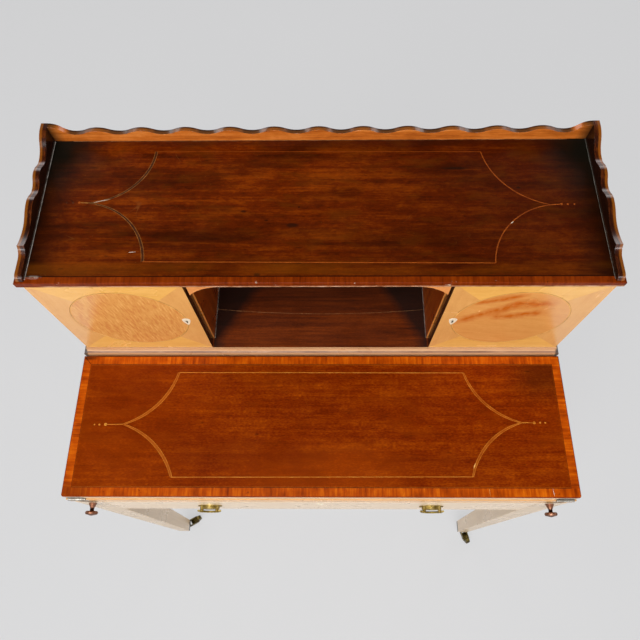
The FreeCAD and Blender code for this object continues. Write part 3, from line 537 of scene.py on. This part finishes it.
def top_age(graph, place):
    """Flecks, a darker right third, dirt and painted shade along the gallery and in its back corners,
    painted shade towards the front, a worn front band and a pale lower arris, worn and with a painted
    reflection.
    """
    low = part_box("cabinet_top")[0]
    inner_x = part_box("gallery_right")[0].x
    inner_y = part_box("gallery_back")[0].y
    x, y, z = graph.parts(place)
    flecks(graph, place, (26, 8, 0), (150, 92, 40))
    from_front = graph.minus(y, low.y)
    right_third = graph.times(graph.range(x, *top_right_shade, 0.0, 0.55),
                              graph.range(from_front, *top_right_fade, 0.4, 1.0))
    graph.paint(right_third, (40, 6, 0))
    cloud = graph.noise(place, (5.0, 22.0, 5.0), 4.0, 0.6, 0.4)
    graph.paint(graph.range(cloud, 0.5, 0.68, 0.0, 0.6), (38, 10, 0))
    olive = graph.noise(place, (16.0, 42.0, 16.0), 4.0, 0.65, 0.3)
    graph.paint(graph.range(olive, 0.5, 0.68, 0.0, 0.5), (88, 40, 2))
    side_gap = graph.minus(inner_x, graph.size(x))
    side_gap = uneven_gap(graph, side_gap, place, 0.02)
    # dirt and painted shade along the foot of the side galleries
    graph.paint(graph.range(side_gap, 0.0, top_side_dirt_and_shade, 0.9, 0.0), (16, 8, 3))
    back_gap = uneven_gap(graph, graph.minus(inner_y, y), place, 0.01)
    # dirt and painted shade along the foot of the back gallery
    graph.paint(graph.range(back_gap, 0.0, top_back_dirt_and_shade, 0.5, 0.0), (30, 10, 2))
    corner = graph.times(graph.range(side_gap, *top_corner_dirt_and_shade_x, 1.0, 0.0),
                         graph.range(back_gap, *top_corner_dirt_and_shade_y, 1.0, 0.0))
    # painted shade, with dirt, in the back corners between the galleries
    graph.paint(graph.times(corner, 0.92), (15, 15, 10))
    for spot_x, spot_y, reach_x, reach_y in dark_spots:
        smudge = spot(graph, x, y, (spot_x * MM, spot_y * MM), reach_x * MM, reach_y * MM)
        graph.paint(graph.times(smudge, 0.75), (26, 12, 5))
    # painted shade that deepens towards the front of the top
    graph.paint(graph.range(from_front, *top_front_painted_shade, 0.0, 0.28), (38, 8, 0))
    rim = graph.between(from_front, *top_front_rim, 3.0 * MM)
    rim = graph.times(rim, graph.range(cloud, 0.35, 0.6, 0.4, 0.0))
    graph.paint(rim, (110, 56, 4))
    band = crossband_color(graph, place, "x", (82, 24, 0), (110, 38, 1), (134, 54, 4))
    graph.paint(graph.range(from_front, top_band + 0.2 * MM, top_band - 0.2 * MM), band)
    line = graph.between(from_front, top_band, top_band + 1.2 * MM, 0.3 * MM)
    graph.paint(graph.times(line, 0.95), (26, 9, 2))
    chip = graph.noise(place, 110.0, 2.0, 0.6)
    near_edge = graph.range(from_front, 4.0 * MM, 0.0)
    chip = graph.times(graph.range(chip, 0.685, 0.72, 0.0, 0.8), near_edge)
    graph.paint(chip, (206, 184, 162))
    worn = graph.noise(place, 160.0, 3.0, 0.6)
    rub_place = (top_rub[0], low.y + top_rub[1])
    rubbed = graph.times(spot(graph, x, y, rub_place, *top_rub_reach), graph.range(worn, 0.35, 0.6))
    graph.paint(graph.times(rubbed, 0.5), (190, 172, 156))
    # the pale lower arris: wear with a painted reflection
    wander = uneven_gap(graph, z, place, 0.0016)
    arris = graph.range(wander, low.z + top_arris + 0.3 * MM, low.z + top_arris - 0.3 * MM)
    arris = graph.times(arris, graph.range(x, *arris_start))
    worn = graph.noise(place, 60.0, 4.0, 0.65)
    pale = graph.ramp(worn, [(0.32, (112, 62, 34)), (0.5, (168, 118, 86)), (0.7, (196, 152, 124))])
    graph.paint(arris, pale)


def flap_age(graph, place):
    """Flecks, a lighter left end, a rubbed front, a stained far corner and pale upright edges, a painted
    reflection.
    """
    low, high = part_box("writing_flap")
    x, y, z = graph.parts(place)
    flecks(graph, place, (62, 16, 0), (176, 92, 22))
    light = graph.times(graph.range(x, *flap_light_side), 0.25)
    graph.paint(light, (146, 60, 2))
    rub_place = (flap_rub[0], low.y + flap_rub[1])
    rubbed = graph.times(spot(graph, x, y, rub_place, *flap_rub_reach), 0.4)
    graph.paint(rubbed, (158, 64, 2))
    cloud = graph.noise(place, (5.0, 16.0, 5.0), 4.0, 0.6, 0.4)
    graph.paint(graph.range(cloud, 0.5, 0.7, 0.0, 0.5), (92, 24, 0))
    olive = graph.noise(place, (12.0, 34.0, 12.0), 4.0, 0.65, 0.3)
    graph.paint(graph.range(olive, 0.5, 0.7, 0.0, 0.45), (128, 51, 2))
    stain_y = [low.y + reach for reach in flap_stain_y]
    stain = graph.times(graph.range(x, *flap_stain_x), graph.range(y, *stain_y))
    graph.paint(graph.times(stain, 0.6), (62, 24, 2))
    # painted reflection: the upright edges of the flap are pale
    stripe = graph.noise(place, (16.0, 16.0, 400.0), 3.0, 0.6)
    pale = graph.ramp(stripe, [(0.3, (198, 166, 130)), (0.7, (220, 192, 158))])
    graph.paint(graph.range(z, high.z - 1.4 * MM, high.z - 1.9 * MM), pale)
    line = graph.between(z, high.z - 1.7 * MM, high.z - 0.9 * MM, 0.2 * MM)
    graph.paint(graph.times(line, 0.7), (96, 34, 6))


def shaded_dark_edges(graph, place):
    """Door edges and the inside of the keyhole behind the face veneer: dark mahogany with painted shade."""
    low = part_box("door_left")[0]
    y = graph.parts(place)[1]
    behind = graph.range(y, low.y + 0.5 * MM, low.y + 0.8 * MM)
    uneven = graph.noise(place, (200.0, 200.0, 25.0), 3.0)
    dark = graph.ramp(uneven, [(0.3, (40, 18, 7)), (0.7, (74, 34, 12))])
    # dark mahogany with painted shade on the door's edges and inside its keyhole
    graph.paint(behind, dark)


def bright_front_edge(graph, place):
    """The front edge of a partition is pale along its inner arris, with painted shade beside it."""
    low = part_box("partition_right")[0]
    x, y = graph.parts(place)[:2]
    inner = graph.range(graph.size(x), low.x + 2.4 * MM, low.x + 1.6 * MM)
    edge = graph.mix(inner, (72, 36, 14), (210, 132, 60))
    # pale along the inner arris, painted shade on the rest of the front edge
    graph.paint(graph.range(y, low.y + 1.2 * MM, low.y + 0.6 * MM), edge)


def toe_strip(graph, place):
    """A dark strip on the inner face of a leg, above the caster, with a pale line over it."""
    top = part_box("leg_front_left")[0].z + toe_height
    parts = graph.parts(place)
    inward = graph.range(graph.times(parts["X"], graph.facing()[0]), -0.15, -0.25)
    strip = graph.range(parts["Z"], top, top - 1.0 * MM)
    graph.paint(graph.times(inward, strip), (75, 70, 60))
    line = graph.between(parts["Z"], top, top + toe_line, 0.3 * MM)
    graph.paint(graph.times(inward, line), (224, 214, 200))


def flames(graph, place):
    """Soft dark orange flames that rise across an oval from the inner side."""
    parts = graph.parts(place)
    wander = uneven_gap(graph, parts["Z"], place, 0.026)
    fade = graph.noise(place, (130.0, 130.0, 60.0), 3.0, 0.6)
    fade = graph.range(fade, 0.32, 0.6, 0.6, 1.0)
    for start, end, width in flame_runs:
        slope = (end[1] - start[1]) / (end[0] - start[0])
        height = graph.minus(wander, graph.times(parts["X"], slope))
        middle = (start[1] - slope * start[0]) * MM
        half = width * MM / 2
        flame = graph.between(height, middle - half, middle + half, half)
        reach = graph.between(parts["X"], start[0] * MM, end[0] * MM, 0.01)
        graph.paint(graph.times(graph.times(flame, reach), fade), (188, 88, 6))


def short_strokes(graph, place):
    """Short reddish strokes that lean across an oval."""
    leaning = graph.turned(place, (0.0, math.radians(3), 0.0))
    stroke = graph.noise(leaning, (400.0, 400.0, 62.0), 2.0, 0.55)
    graph.paint(graph.range(stroke, 0.5, 0.66, 0.0, 0.6), (198, 116, 58))
    graph.paint(graph.range(stroke, 0.44, 0.3, 0.0, 0.5), (238, 186, 110))


def recess_shade(graph, place):
    """Painted shade on the floor of the recess: darker with depth, and painted shadow wedges beside the
    partitions.
    """
    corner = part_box("partition_right")[0]
    x, y = graph.parts(place)[:2]
    depth = graph.minus(y, corner.y)
    gap = graph.minus(corner.x, graph.size(x))
    # painted shade that deepens towards the back of the recess
    graph.paint(graph.range(depth, *recess_dusk, 0.0, 0.6), (28, 12, 7))
    reach = graph.range(depth, 0.0, recess_shadow_wedge_depth, *recess_shadow_wedge_widths)
    # painted shadow wedges beside the partitions
    shadow_wedge = graph.minus(reach, gap)
    shadow_wedge = graph.range(uneven_gap(graph, shadow_wedge, place, 0.006), -0.008, 0.012, 0.0, 0.85)
    inside = graph.range(gap, -0.001, 0.0)
    graph.paint(graph.times(shadow_wedge, inside), (22, 15, 12))


def loper_shadow(graph, place):
    """Painted shadow at the top of a loper's face, beside its knob, where the gap under the bed lies."""
    knob_low, knob_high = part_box("loper_knob_right")
    top_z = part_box("loper_right")[1].z
    parts = graph.parts(place)
    offset = graph.minus(graph.size(parts["X"]), (knob_low.x + knob_high.x) / 2)
    near = graph.range(graph.size(offset), 16.0 * MM, 12.0 * MM)
    top = graph.range(parts["Z"], top_z - 2.6 * MM, top_z - 1.6 * MM)
    # painted shadow beside the knob
    graph.paint(graph.times(graph.times(near, top), 0.9), (34, 22, 15))


def moulding_line(graph, place):
    """A dark line in the quirk of the plinth moulding, a browner lower half and painted shade on its front
    ends.
    """
    low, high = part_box("plinth_moulding")
    x, y, z = graph.parts(place)
    uneven = graph.noise(place, 18.0, 3.0)
    quirk = graph.between(z, high.z - 8.4 * MM, high.z - 6.6 * MM, 0.4 * MM)
    quirk = graph.times(quirk, graph.range(uneven, 0.25, 0.6, 0.4, 0.95))
    lower = graph.range(z, high.z - 7.4 * MM, high.z - 8.6 * MM, 0.0, 0.45)
    graph.paint(lower, (150, 100, 64))
    graph.paint(quirk, (104, 66, 44))
    # painted shade on the ends of the moulding, where it returns along the sides
    end = graph.range(graph.size(x), high.x - 7.0 * MM, high.x - 5.0 * MM, 0.0, 0.85)
    end = graph.times(end, graph.range(y, low.y + 26.0 * MM, low.y + 14.0 * MM))
    graph.paint(end, (30, 14, 8))


def dark_crest_top(graph, place):
    """The crest of the gallery is dark brown, nearly black in its hollows and at its back edge."""
    low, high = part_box("gallery_back")
    x, y, z = graph.parts(place)
    hollow = graph.range(z, high.z - 6.0 * MM, high.z - 12.0 * MM)
    brown = graph.mix(hollow, (150, 84, 30), (92, 54, 26))
    brown = graph.mix(graph.range(y, low.y + 3.6 * MM, low.y + 5.4 * MM, 0.0, 0.8), brown, (46, 28, 18))
    # the top of the crest is darker, most of all in its hollows and at its back edge
    graph.paint(graph.range(graph.facing()[2], 0.8, 0.95), brown)
    corner = graph.range(graph.size(x), *crest_corner, 0.0, 0.85)
    graph.paint(corner, (34, 26, 14))


def dark_inner_face(graph, place):
    """A side gallery is nearly black inside, dark wood with painted shade, and rubbed golden along its
    outer edge.
    """
    inner_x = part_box("gallery_right")[0].x
    x = graph.parts(place)[0]
    outward = graph.minus(graph.size(x), inner_x)
    graph.paint(graph.range(outward, 4.5 * MM, 6.0 * MM, 0.0, 0.45), (168, 96, 24))
    # painted shade on the inner face
    inward = graph.range(graph.times(x, graph.facing()[0]), -0.15, -0.3, 0.0, 0.85)
    graph.paint(inward, (28, 11, 5))


def neck_shadow(graph, place):
    """Painted shadow on the neck of a loper knob."""
    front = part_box("loper_knob_left")[0].y
    neck = graph.between(graph.parts(place)[1], front + 6.5 * MM, front + 11.5 * MM, 0.8 * MM)
    graph.paint(neck, (40, 22, 14))


# Woods

mahogany_top = wood(
    "mahogany_top", (46, 11, 0), (92, 29, 0), (136, 58, 2), bands=110.0, contrast=0.75, blotches=0.4,
    mottle=0.4, grit=0.5, gloss=0.34, shine=0.06, overlay=top_age)
mahogany_flap = wood(
    "mahogany_flap", (82, 20, 0), (120, 39, 0), (162, 72, 2), bands=110.0, contrast=0.6, blotches=0.28,
    mottle=0.4, grit=1.0, gloss=0.32, shine=0.06, overlay=flap_age)
mahogany_back = wood("mahogany_back", (44, 15, 4), (78, 31, 8), (104, 46, 12), gloss=0.5, shine=0.2)
mahogany_floor = wood(
    "mahogany_floor", (48, 15, 3), (90, 34, 5), (122, 52, 9), bands=120.0, grit=0.6, gloss=0.4, shine=0.2,
    overlay=recess_shade)
mahogany_partition = wood(
    "mahogany_partition", (98, 34, 3), (148, 62, 8), (180, 90, 22), along="z", gloss=0.3,
    overlay=bright_front_edge)
mahogany_gallery_back = wood(
    "mahogany_gallery_back", (140, 64, 14), (194, 104, 34), (222, 140, 66), bands=90.0, mottle=0.3,
    gloss=0.14, overlay=dark_crest_top)
mahogany_gallery_side = wood(
    "mahogany_gallery_side", (26, 9, 2), (52, 18, 4), (110, 52, 12), along="y", bands=120.0, contrast=1.2,
    gloss=0.19, overlay=dark_inner_face)
satinwood_oval_left = wood(
    "satinwood_oval_left", (196, 122, 60), (216, 152, 80), (230, 174, 98), along="z", bands=200.0,
    contrast=0.35, blotches=0.2, mottle=0.2, gloss=0.22, overlay=short_strokes)
satinwood_oval_right = wood(
    "satinwood_oval_right", (196, 120, 54), (216, 149, 78), (230, 174, 102),
    turn=(0.0, math.radians(-14), 0.0), bands=120.0, fibres=500.0, contrast=0.35, blotches=0.2,
    mottle=0.2, gloss=0.22, relief=0.1, pores=0.2, overlay=flames)
satinwood_golden = wood(
    "satinwood_golden", (212, 146, 66), (230, 173, 88), (240, 190, 110), contrast=0.4, blotches=0.2,
    mottle=0.2, gloss=0.24, relief=0.1, pores=0.2)
satinwood_pink = wood(
    "satinwood_pink", (200, 134, 72), (219, 160, 90), (230, 178, 112), along="z", contrast=0.4,
    blotches=0.2, mottle=0.2, gloss=0.24, relief=0.1, pores=0.2, overlay=shaded_dark_edges)
satinwood_apron = wood(
    "satinwood_apron", (196, 112, 56), (222, 146, 82), (234, 168, 104), contrast=0.6, blotches=0.2,
    gloss=0.2)
satinwood_bed = wood(
    "satinwood_bed", (190, 138, 86), (212, 164, 110), (226, 186, 138), contrast=0.4, blotches=0.15,
    gloss=0.26)
frieze_tones = ((198, 166, 130), (219, 193, 161), (230, 208, 180))
smooth = {"bands": 130.0, "contrast": 0.55, "blotches": 0.06, "mottle": 0.04, "grit": 0.08, "gloss": 0.28,
          "relief": 0.05, "pores": 0.08}
satinwood_frieze = wood("satinwood_frieze", *frieze_tones, **smooth)
satinwood_rail = wood("satinwood_rail", *frieze_tones, along="y", **smooth)
satinwood_loper = wood("satinwood_loper", *frieze_tones, along="y", overlay=loper_shadow, **smooth)
satinwood_plinth = wood(
    "satinwood_plinth", (176, 122, 84), (204, 156, 112), (220, 180, 140), contrast=0.6, blotches=0.2,
    gloss=0.28, overlay=moulding_line)
satinwood_leg = wood(
    "satinwood_leg", (186, 158, 124), (204, 178, 145), (216, 194, 164), along="z", overlay=toe_strip,
    **smooth)
satinwood_side = wood(
    "satinwood_side", (182, 114, 50), (208, 146, 74), (226, 170, 96), along="y", contrast=0.6,
    blotches=0.2)
oak = wood("oak", (118, 78, 42), (156, 112, 66), (184, 142, 92), along="y", gloss=0.55)
oak_across = wood("oak_across", (118, 78, 42), (156, 112, 66), (184, 142, 92), gloss=0.55)
band_along_x = crossbanding("band_along_x", "x")
band_along_y = crossbanding("band_along_y", "y")

# Inlays, metals, bone and leather
boxwood = plain_inlay("boxwood", (176, 100, 24), (212, 140, 52))
boxwood_light = plain_inlay("boxwood_light", (206, 144, 62), (236, 186, 108))
boxwood_worn = plain_inlay("boxwood_worn", (168, 156, 138), (226, 216, 198))
tan_inlay = plain_inlay("tan_inlay", (140, 62, 5), (166, 84, 12))
dull_inlay = plain_inlay("dull_inlay", (44, 18, 6), (74, 34, 12))
rust_inlay = plain_inlay("rust_inlay", (104, 42, 6), (136, 62, 12))
dull_string = plain_inlay("dull_string", (104, 60, 22), (176, 118, 54))
rust_string = plain_inlay("rust_string", (128, 54, 10), (166, 84, 24))
oval_line = plain_inlay("oval_line", (122, 78, 32), (186, 128, 56))
dark_string = plain_inlay("dark_string", (34, 12, 4), (66, 28, 10))
grey_line = plain_inlay("grey_line", (76, 70, 66), (150, 140, 130))
pale_line = plain_inlay("pale_line", (96, 90, 82), (200, 194, 186))
dim_line = plain_inlay("dim_line", (56, 56, 50), (126, 124, 116))
grey_wood = plain_inlay("grey_wood", (112, 98, 84), (200, 188, 172))
tan_line = plain_inlay("tan_line", (84, 50, 26), (160, 112, 72))
# a dark sheet for painted shadow in the keyholes
shadow_hole = plain_inlay("shadow_hole", (12, 7, 4), (28, 16, 9))
brass = aged_metal("brass", (112, 94, 44), (162, 140, 76), (204, 184, 124))
dark_brass = aged_metal("dark_brass", (48, 42, 20), (92, 78, 38), (150, 132, 76))
pale_steel = aged_metal("pale_steel", (130, 122, 112), (160, 152, 142), (190, 184, 174))
copper_knob = aged_metal("copper_knob", (88, 54, 38), (130, 86, 64), (180, 138, 114), neck_shadow)
bone_plate = bone()
writing_leather = leather()


def finish_node(name, material):
    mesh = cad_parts[name].data
    mesh.materials.clear()
    mesh.materials.append(material)


def soften(name, width):
    """Round the arrises of a CAD node a little."""
    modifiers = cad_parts[name].modifiers
    weld = modifiers.new("weld", "WELD")
    weld.merge_threshold = weld_reach
    bevel = modifiers.new("bevel", "BEVEL")
    bevel.width = width
    bevel.segments = bevel_segments
    bevel.limit_method = "ANGLE"
    bevel.angle_limit = math.radians(bevel_angle)
    modifiers.new("normals", "WEIGHTED_NORMAL")


def both(name):
    return [name + "_left", name + "_right"]


node_finishes = {
    mahogany_top: ["cabinet_top"],
    mahogany_flap: ["writing_flap"],
    mahogany_back: ["cabinet_back"],
    mahogany_floor: ["cabinet_floor"],
    mahogany_partition: both("partition"),
    mahogany_gallery_back: ["gallery_back"],
    mahogany_gallery_side: both("gallery"),
    satinwood_pink: both("door"),
    satinwood_apron: ["arched_apron"],
    satinwood_bed: ["writing_bed"],
    satinwood_frieze: ["drawer_front", "back_rail", "front_rail"],
    satinwood_plinth: ["plinth_moulding"],
    satinwood_leg: both("leg_front") + both("leg_back"),
    satinwood_loper: both("loper"),
    satinwood_rail: both("side_rail"),
    satinwood_side: both("cabinet_side"),
    oak: both("drawer_side") + ["drawer_bottom"] + both("drawer_runner") + both("loper_guide"),
    oak_across: ["drawer_back"],
    writing_leather: ["bed_lining", "flap_lining"],
    copper_knob: both("loper_knob"),
    pale_steel: ["bed_hinge_leaves", "flap_hinge_leaves"],
    bone_plate: both("door_escutcheon") + ["drawer_escutcheon"],
}
for material, names in node_finishes.items():
    for node_name in names:
        finish_node(node_name, material)
for node_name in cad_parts:
    if node_name.startswith("caster"):
        finish_node(node_name, dark_brass)
    elif node_name.startswith(("handle", "door_hinge", "cabinet_hinge")):
        finish_node(node_name, brass)


# Inlay and fine lines on the flap, the cabinet top, the floor of the recess and the doors

def on_level(z):
    return lambda u, v, height: Vector((u, v, z + height))


def crescent_width(share, widths):
    """The width of a crescent at a share of the way from its root to its tip."""
    root, middle, tip = widths
    straight = root + (tip - root) * share
    return (straight + (middle - (root + tip) / 2) * 4 * share * (1 - share)) * MM


def pointed_panel(name, place, front, body, marks, widths, radii, edge, strings, fills):
    """Two long strings joined at each end by a pair of hollow crescents that meet in a point with dots."""

    def point_of(mark):
        return (mark[0] * MM, front + mark[1] * MM)

    def string(label, points, string_widths, material, level):
        ribbon(name + label, points, string_widths, place, material, body, level)

    shares = [step / (crescent_count - 1) for step in range(crescent_count)]
    for label in ("front", "back"):
        ends = [point_of(marks[side_name][label + "_root"]) for side_name in ("left", "right")]
        string("_line_" + label, ends, [string_width] * 2, strings[label], 1)
    for side_name, side_marks in marks.items():
        tip = point_of(side_marks["tip"])
        for label in ("front", "back"):
            root, middle = (point_of(side_marks[label + end]) for end in ("_root", "_middle"))
            points = arc_points(root, middle, tip, crescent_count)
            inside = [crescent_width(share, widths[side_name]) for share in shares]
            outside = [width + 2 * edge for width in inside]
            crescent = "_crescent_" + label + "_" + side_name
            string(crescent, points, inside, fills[side_name], 0)
            string(crescent + "_edge", points, outside, strings[side_name], -1)
        dots = [point_of(dot) for dot in side_marks["dots"]]
        string("_point_" + side_name, [tip, dots[0]], point_widths, strings[side_name], 2)
        for index, (dot, radius) in enumerate(zip(dots, radii)):
            faded = index > 0 and side_name + "_dots" in strings
            material = strings[side_name + "_dots" if faded else "dots"]
            outline = oval_points(dot, radius * MM, radius * MM, dot_sides)
            slab(name + "_dot_" + side_name + "_" + str(index), outline, place, material, body, 2)


def worn_mark(name, place, material, body):
    """A short pale scratch or lifted string, pointed at both ends; on two strings of the top it is a
    painted glint.
    """
    start, end, width = worn_marks[name]
    points = [Vector(start) * MM, (Vector(start) + Vector(end)) / 2 * MM, Vector(end) * MM]
    widths = [worn_tip * MM, width * MM, worn_tip * MM]
    ribbon(name, [tuple(point) for point in points], widths, place, material, body, 3)


def dress_flap():
    low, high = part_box("writing_flap")
    place = on_level(high.z)
    strings = dict.fromkeys(("front", "back", "left", "right", "dots"), boxwood)
    pointed_panel("flap_inlay", place, low.y, "flap", flap_marks, flap_crescent_widths, flap_dot_radii,
                  flap_crescent_edge, strings, {"left": tan_inlay, "right": tan_inlay})
    left, right = low.x + flap_bare_edge, high.x - flap_bare_edge
    near, far = low.y + flap_bare_edge, high.y - flap_bare_edge
    inner_left, inner_right = left + flap_side_band, right - flap_side_band
    inner_near, inner_far = near + flap_front_band, far - flap_end_band
    bands = {
        "front": (rectangle(left, near, right, inner_near), band_along_x),
        "back": (rectangle(inner_left, inner_far, inner_right, far), band_along_x),
        "left": (rectangle(left, inner_near, inner_left, far), band_along_y),
        "right": (rectangle(inner_right, inner_near, right, far), band_along_y),
    }
    for label, (outline, material) in bands.items():
        slab("flap_band_" + label, outline, place, material, "flap")
    for label, material in (("dark", dark_string), ("light", tan_inlay)):
        inset = band_string_insets[label]
        loop = rectangle(inner_left + inset, inner_near + inset, inner_right - inset, inner_far - inset)
        ribbon("flap_band_string_" + label, loop, [band_string_width] * 4, place, material, "flap", 0, True)
    worn_mark("flap_band_crack", place, boxwood_worn, "flap")
    worn_mark("flap_band_crack_inner", place, boxwood_light, "flap")
    worn_mark("flap_string_lifted", place, boxwood_light, "flap")
    mitre = [(left + mitre_outer_gap, far - mitre_outer_gap),
             (inner_left - mitre_inner_gap, inner_far + mitre_inner_gap)]
    ribbon("flap_band_mitre", mitre, mitre_widths, place, dark_string, "flap", 1)


def dress_top():
    low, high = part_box("cabinet_top")
    place = on_level(high.z)
    strings = {"front": rust_string, "back": rust_inlay, "left": dull_string, "right": rust_string,
               "dots": rust_string, "left_dots": dull_inlay}
    pointed_panel("top_inlay", place, low.y, "desk", top_marks, top_crescent_widths, top_dot_radii,
                  top_crescent_edge, strings, {"left": dull_inlay, "right": rust_inlay})
    # painted glints on two strings of the top's inlay
    worn_mark("top_string_lifted_glint", place, grey_wood, "desk")
    worn_mark("top_string_worn_glint", place, boxwood_worn, "desk")
    worn_mark("top_scratch", place, boxwood_worn, "desk")
    inner_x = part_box("gallery_right")[0].x
    inner_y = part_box("gallery_back")[0].y

    def foot_line(label, ends, material):
        widths = [gallery_line_widths[label]] * 2
        ribbon("gallery_base_line_" + label, ends, widths, place, material, "desk")

    for side, side_name, material in ((-1, "left", pale_line), (1, "right", dim_line)):
        foot_x = side * (inner_x - gallery_side_line_gap)
        ends = [(foot_x, low.y + gallery_side_line_front), (foot_x, inner_y - gallery_side_line_back)]
        foot_line(side_name, ends, material)
    end_x = inner_x - gallery_back_line_short
    foot_line("back", [(side * end_x, inner_y - gallery_back_line_gap) for side in (-1, 1)], tan_line)


def dress_recess():
    """Fine lines on the floor of the recess: beside the partitions and along a joint of its boards."""
    place = on_level(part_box("cabinet_floor")[1].z)
    inner_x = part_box("partition_right")[0].x
    for side, side_name in ((-1, "left"), (1, "right")):
        ends = [(side * (inner_x - recess_line_gap), depth) for depth in recess_line_run]
        ribbon("recess_side_line_" + side_name, ends, [recess_line_width] * 2, place, grey_line, "desk")
    left_depth, right_depth = recess_joint_depths
    end_x = inner_x - recess_joint_gap
    joint = arc_points((-end_x, left_depth), recess_joint_middle, (end_x, right_depth), recess_joint_count)
    ribbon("recess_joint_line", joint, [recess_joint_width] * recess_joint_count, place, tan_line, "desk")


def dress_door(side, side_name, oval_wood):
    """Quartered veneer round an oval with a pale string and a darker line, and a dark sheet of painted
    shadow over the keyhole.
    """
    low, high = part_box("door_" + side_name)
    body = "door_" + side_name + "_body"
    center = ((low.x + high.x) / 2 - side * oval_inward, (low.z + high.z) / 2)

    def place(u, v, height):
        return Vector((u, low.y - height, v))

    def oval_string(label, outward, width, material):
        rim = oval_points(center, oval_half_width + outward, oval_half_height + outward, oval_string_count)
        ribbon(label + side_name, rim, [width] * oval_string_count, place, material, body, 1, True)

    corners = rectangle(low.x + door_bare_edge, low.z + door_bare_edge,
                        high.x - door_bare_edge, high.z - door_bare_edge)
    for index, label in enumerate(("bottom", "right", "top", "left")):
        outline = [corners[index], corners[(index + 1) % 4], center]
        material = satinwood_golden if label in ("bottom", "top") else satinwood_pink
        slab("door_veneer_" + label + "_" + side_name, outline, place, material, body, -1)
    oval = oval_points(center, oval_half_width, oval_half_height, oval_sides)
    slab("door_oval_" + side_name, oval, place, oval_wood, body, 0)
    oval_string("door_oval_string_", 0.0, string_width, boxwood_light)
    oval_string("door_oval_line_", oval_line_outward, oval_line_width, oval_line)
    plate_low, plate_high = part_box("door_escutcheon_" + side_name)
    key_x, key_z = (plate_low.x + plate_high.x) / 2, plate_low.z + keyhole_rise
    first_turn = math.asin(keyhole_slot_half / keyhole_radius) - math.pi / 2
    sweep = math.tau - 2 * (first_turn + math.pi / 2)
    turns = [first_turn + sweep * step / (keyhole_sides - 1) for step in range(keyhole_sides)]
    hole = [(key_x + keyhole_radius * math.cos(turn), key_z + keyhole_radius * math.sin(turn))
            for turn in turns]
    hole += [(key_x + edge * keyhole_slot_half, key_z - keyhole_slot_length) for edge in (-1, 1)]
    # a dark sheet over the keyhole: painted shadow in the hole
    slab("door_keyhole_shadow_" + side_name, hole, place, shadow_hole, body, 2)


dress_flap()
dress_top()
dress_recess()
dress_door(-1, "left", satinwood_oval_left)
dress_door(1, "right", satinwood_oval_right)

softened = {
    1.5 * MM: ["gallery_back"],
    2.2 * MM: both("gallery"),
    0.8 * MM: both("leg_front") + both("leg_back") + ["writing_bed", "arched_apron", "handle_plates"],
    0.5 * MM: both("partition") + ["drawer_front"] + both("cabinet_side"),
}
for width, names in softened.items():
    for node_name in names:
        soften(node_name, width)


# Floor, light and camera

def make_floor():
    mesh = bpy.data.meshes.new("floor")
    outline = rectangle(-floor_half, -floor_half, floor_half, floor_half)
    mesh.from_pydata([(x, y, 0.0) for x, y in outline], [], [(0, 1, 2, 3)])
    mesh.materials.append(floor_paper())
    floor = bpy.data.objects.new("floor", mesh)
    bpy.context.scene.collection.objects.link(floor)


def soft_lamp(name, lamp_values, side=1):
    """A round soft lamp, on the other side of the middle where side is -1."""
    (x, y, z), target, size, power = lamp_values
    place = Vector((side * x, y, z))
    data = bpy.data.lights.new(name, "AREA")
    data.shape = "DISK"
    data.size = size
    data.energy = power
    lamp = bpy.data.objects.new(name, data)
    lamp.location = place
    lamp.rotation_mode = "QUATERNION"
    lamp.rotation_quaternion = (Vector(target) - place).to_track_quat("-Z", "Y")
    bpy.context.scene.collection.objects.link(lamp)


def studio_world():
    """A pale room with a dim ceiling."""
    world = bpy.data.worlds.new("studio")
    world.use_nodes = True
    tree = world.node_tree
    background = tree.nodes["Background"]
    direction = tree.nodes.new("ShaderNodeTexCoord")
    parts = tree.nodes.new("ShaderNodeSeparateXYZ")
    ramp = tree.nodes.new("ShaderNodeValToRGB")
    tree.links.new(direction.outputs["Generated"], parts.inputs[0])
    tree.links.new(parts.outputs["Z"], ramp.inputs["Fac"])
    tree.links.new(ramp.outputs["Color"], background.inputs["Color"])
    for element, (position, color) in zip(ramp.color_ramp.elements, room_stops):
        element.position = position
        element.color = color
    background.inputs["Strength"].default_value = room_strength
    bpy.context.scene.world = world


def make_camera():
    pitch, yaw, roll = (math.radians(angle) for angle in (camera_pitch_down, camera_yaw, camera_roll))
    forward = Vector((math.sin(yaw) * math.cos(pitch), math.cos(yaw) * math.cos(pitch), -math.sin(pitch)))
    level_right = Vector((math.cos(yaw), -math.sin(yaw), 0.0))
    level_down = forward.cross(level_right)
    right = level_right * math.cos(roll) + level_down * math.sin(roll)
    down = level_down * math.cos(roll) - level_right * math.sin(roll)
    data = bpy.data.cameras.new("camera")
    data.sensor_width = sensor_width_mm
    data.lens = sensor_width_mm * focal_length_px / image_width_px
    camera = bpy.data.objects.new("camera", data)
    axes = Matrix((right, -down, -forward)).transposed()
    camera.matrix_world = Matrix.Translation(camera_place) @ axes.to_4x4()
    bpy.context.scene.collection.objects.link(camera)
    bpy.context.scene.camera = camera


make_floor()
studio_world()
soft_lamp("key", key_lamp)
for side, side_name in ((-1, "left"), (1, "right")):
    soft_lamp("front_" + side_name, front_lamp, side)
    soft_lamp("back_" + side_name, back_lamp, side)
make_camera()
bpy.context.scene.view_settings.view_transform = "Standard"
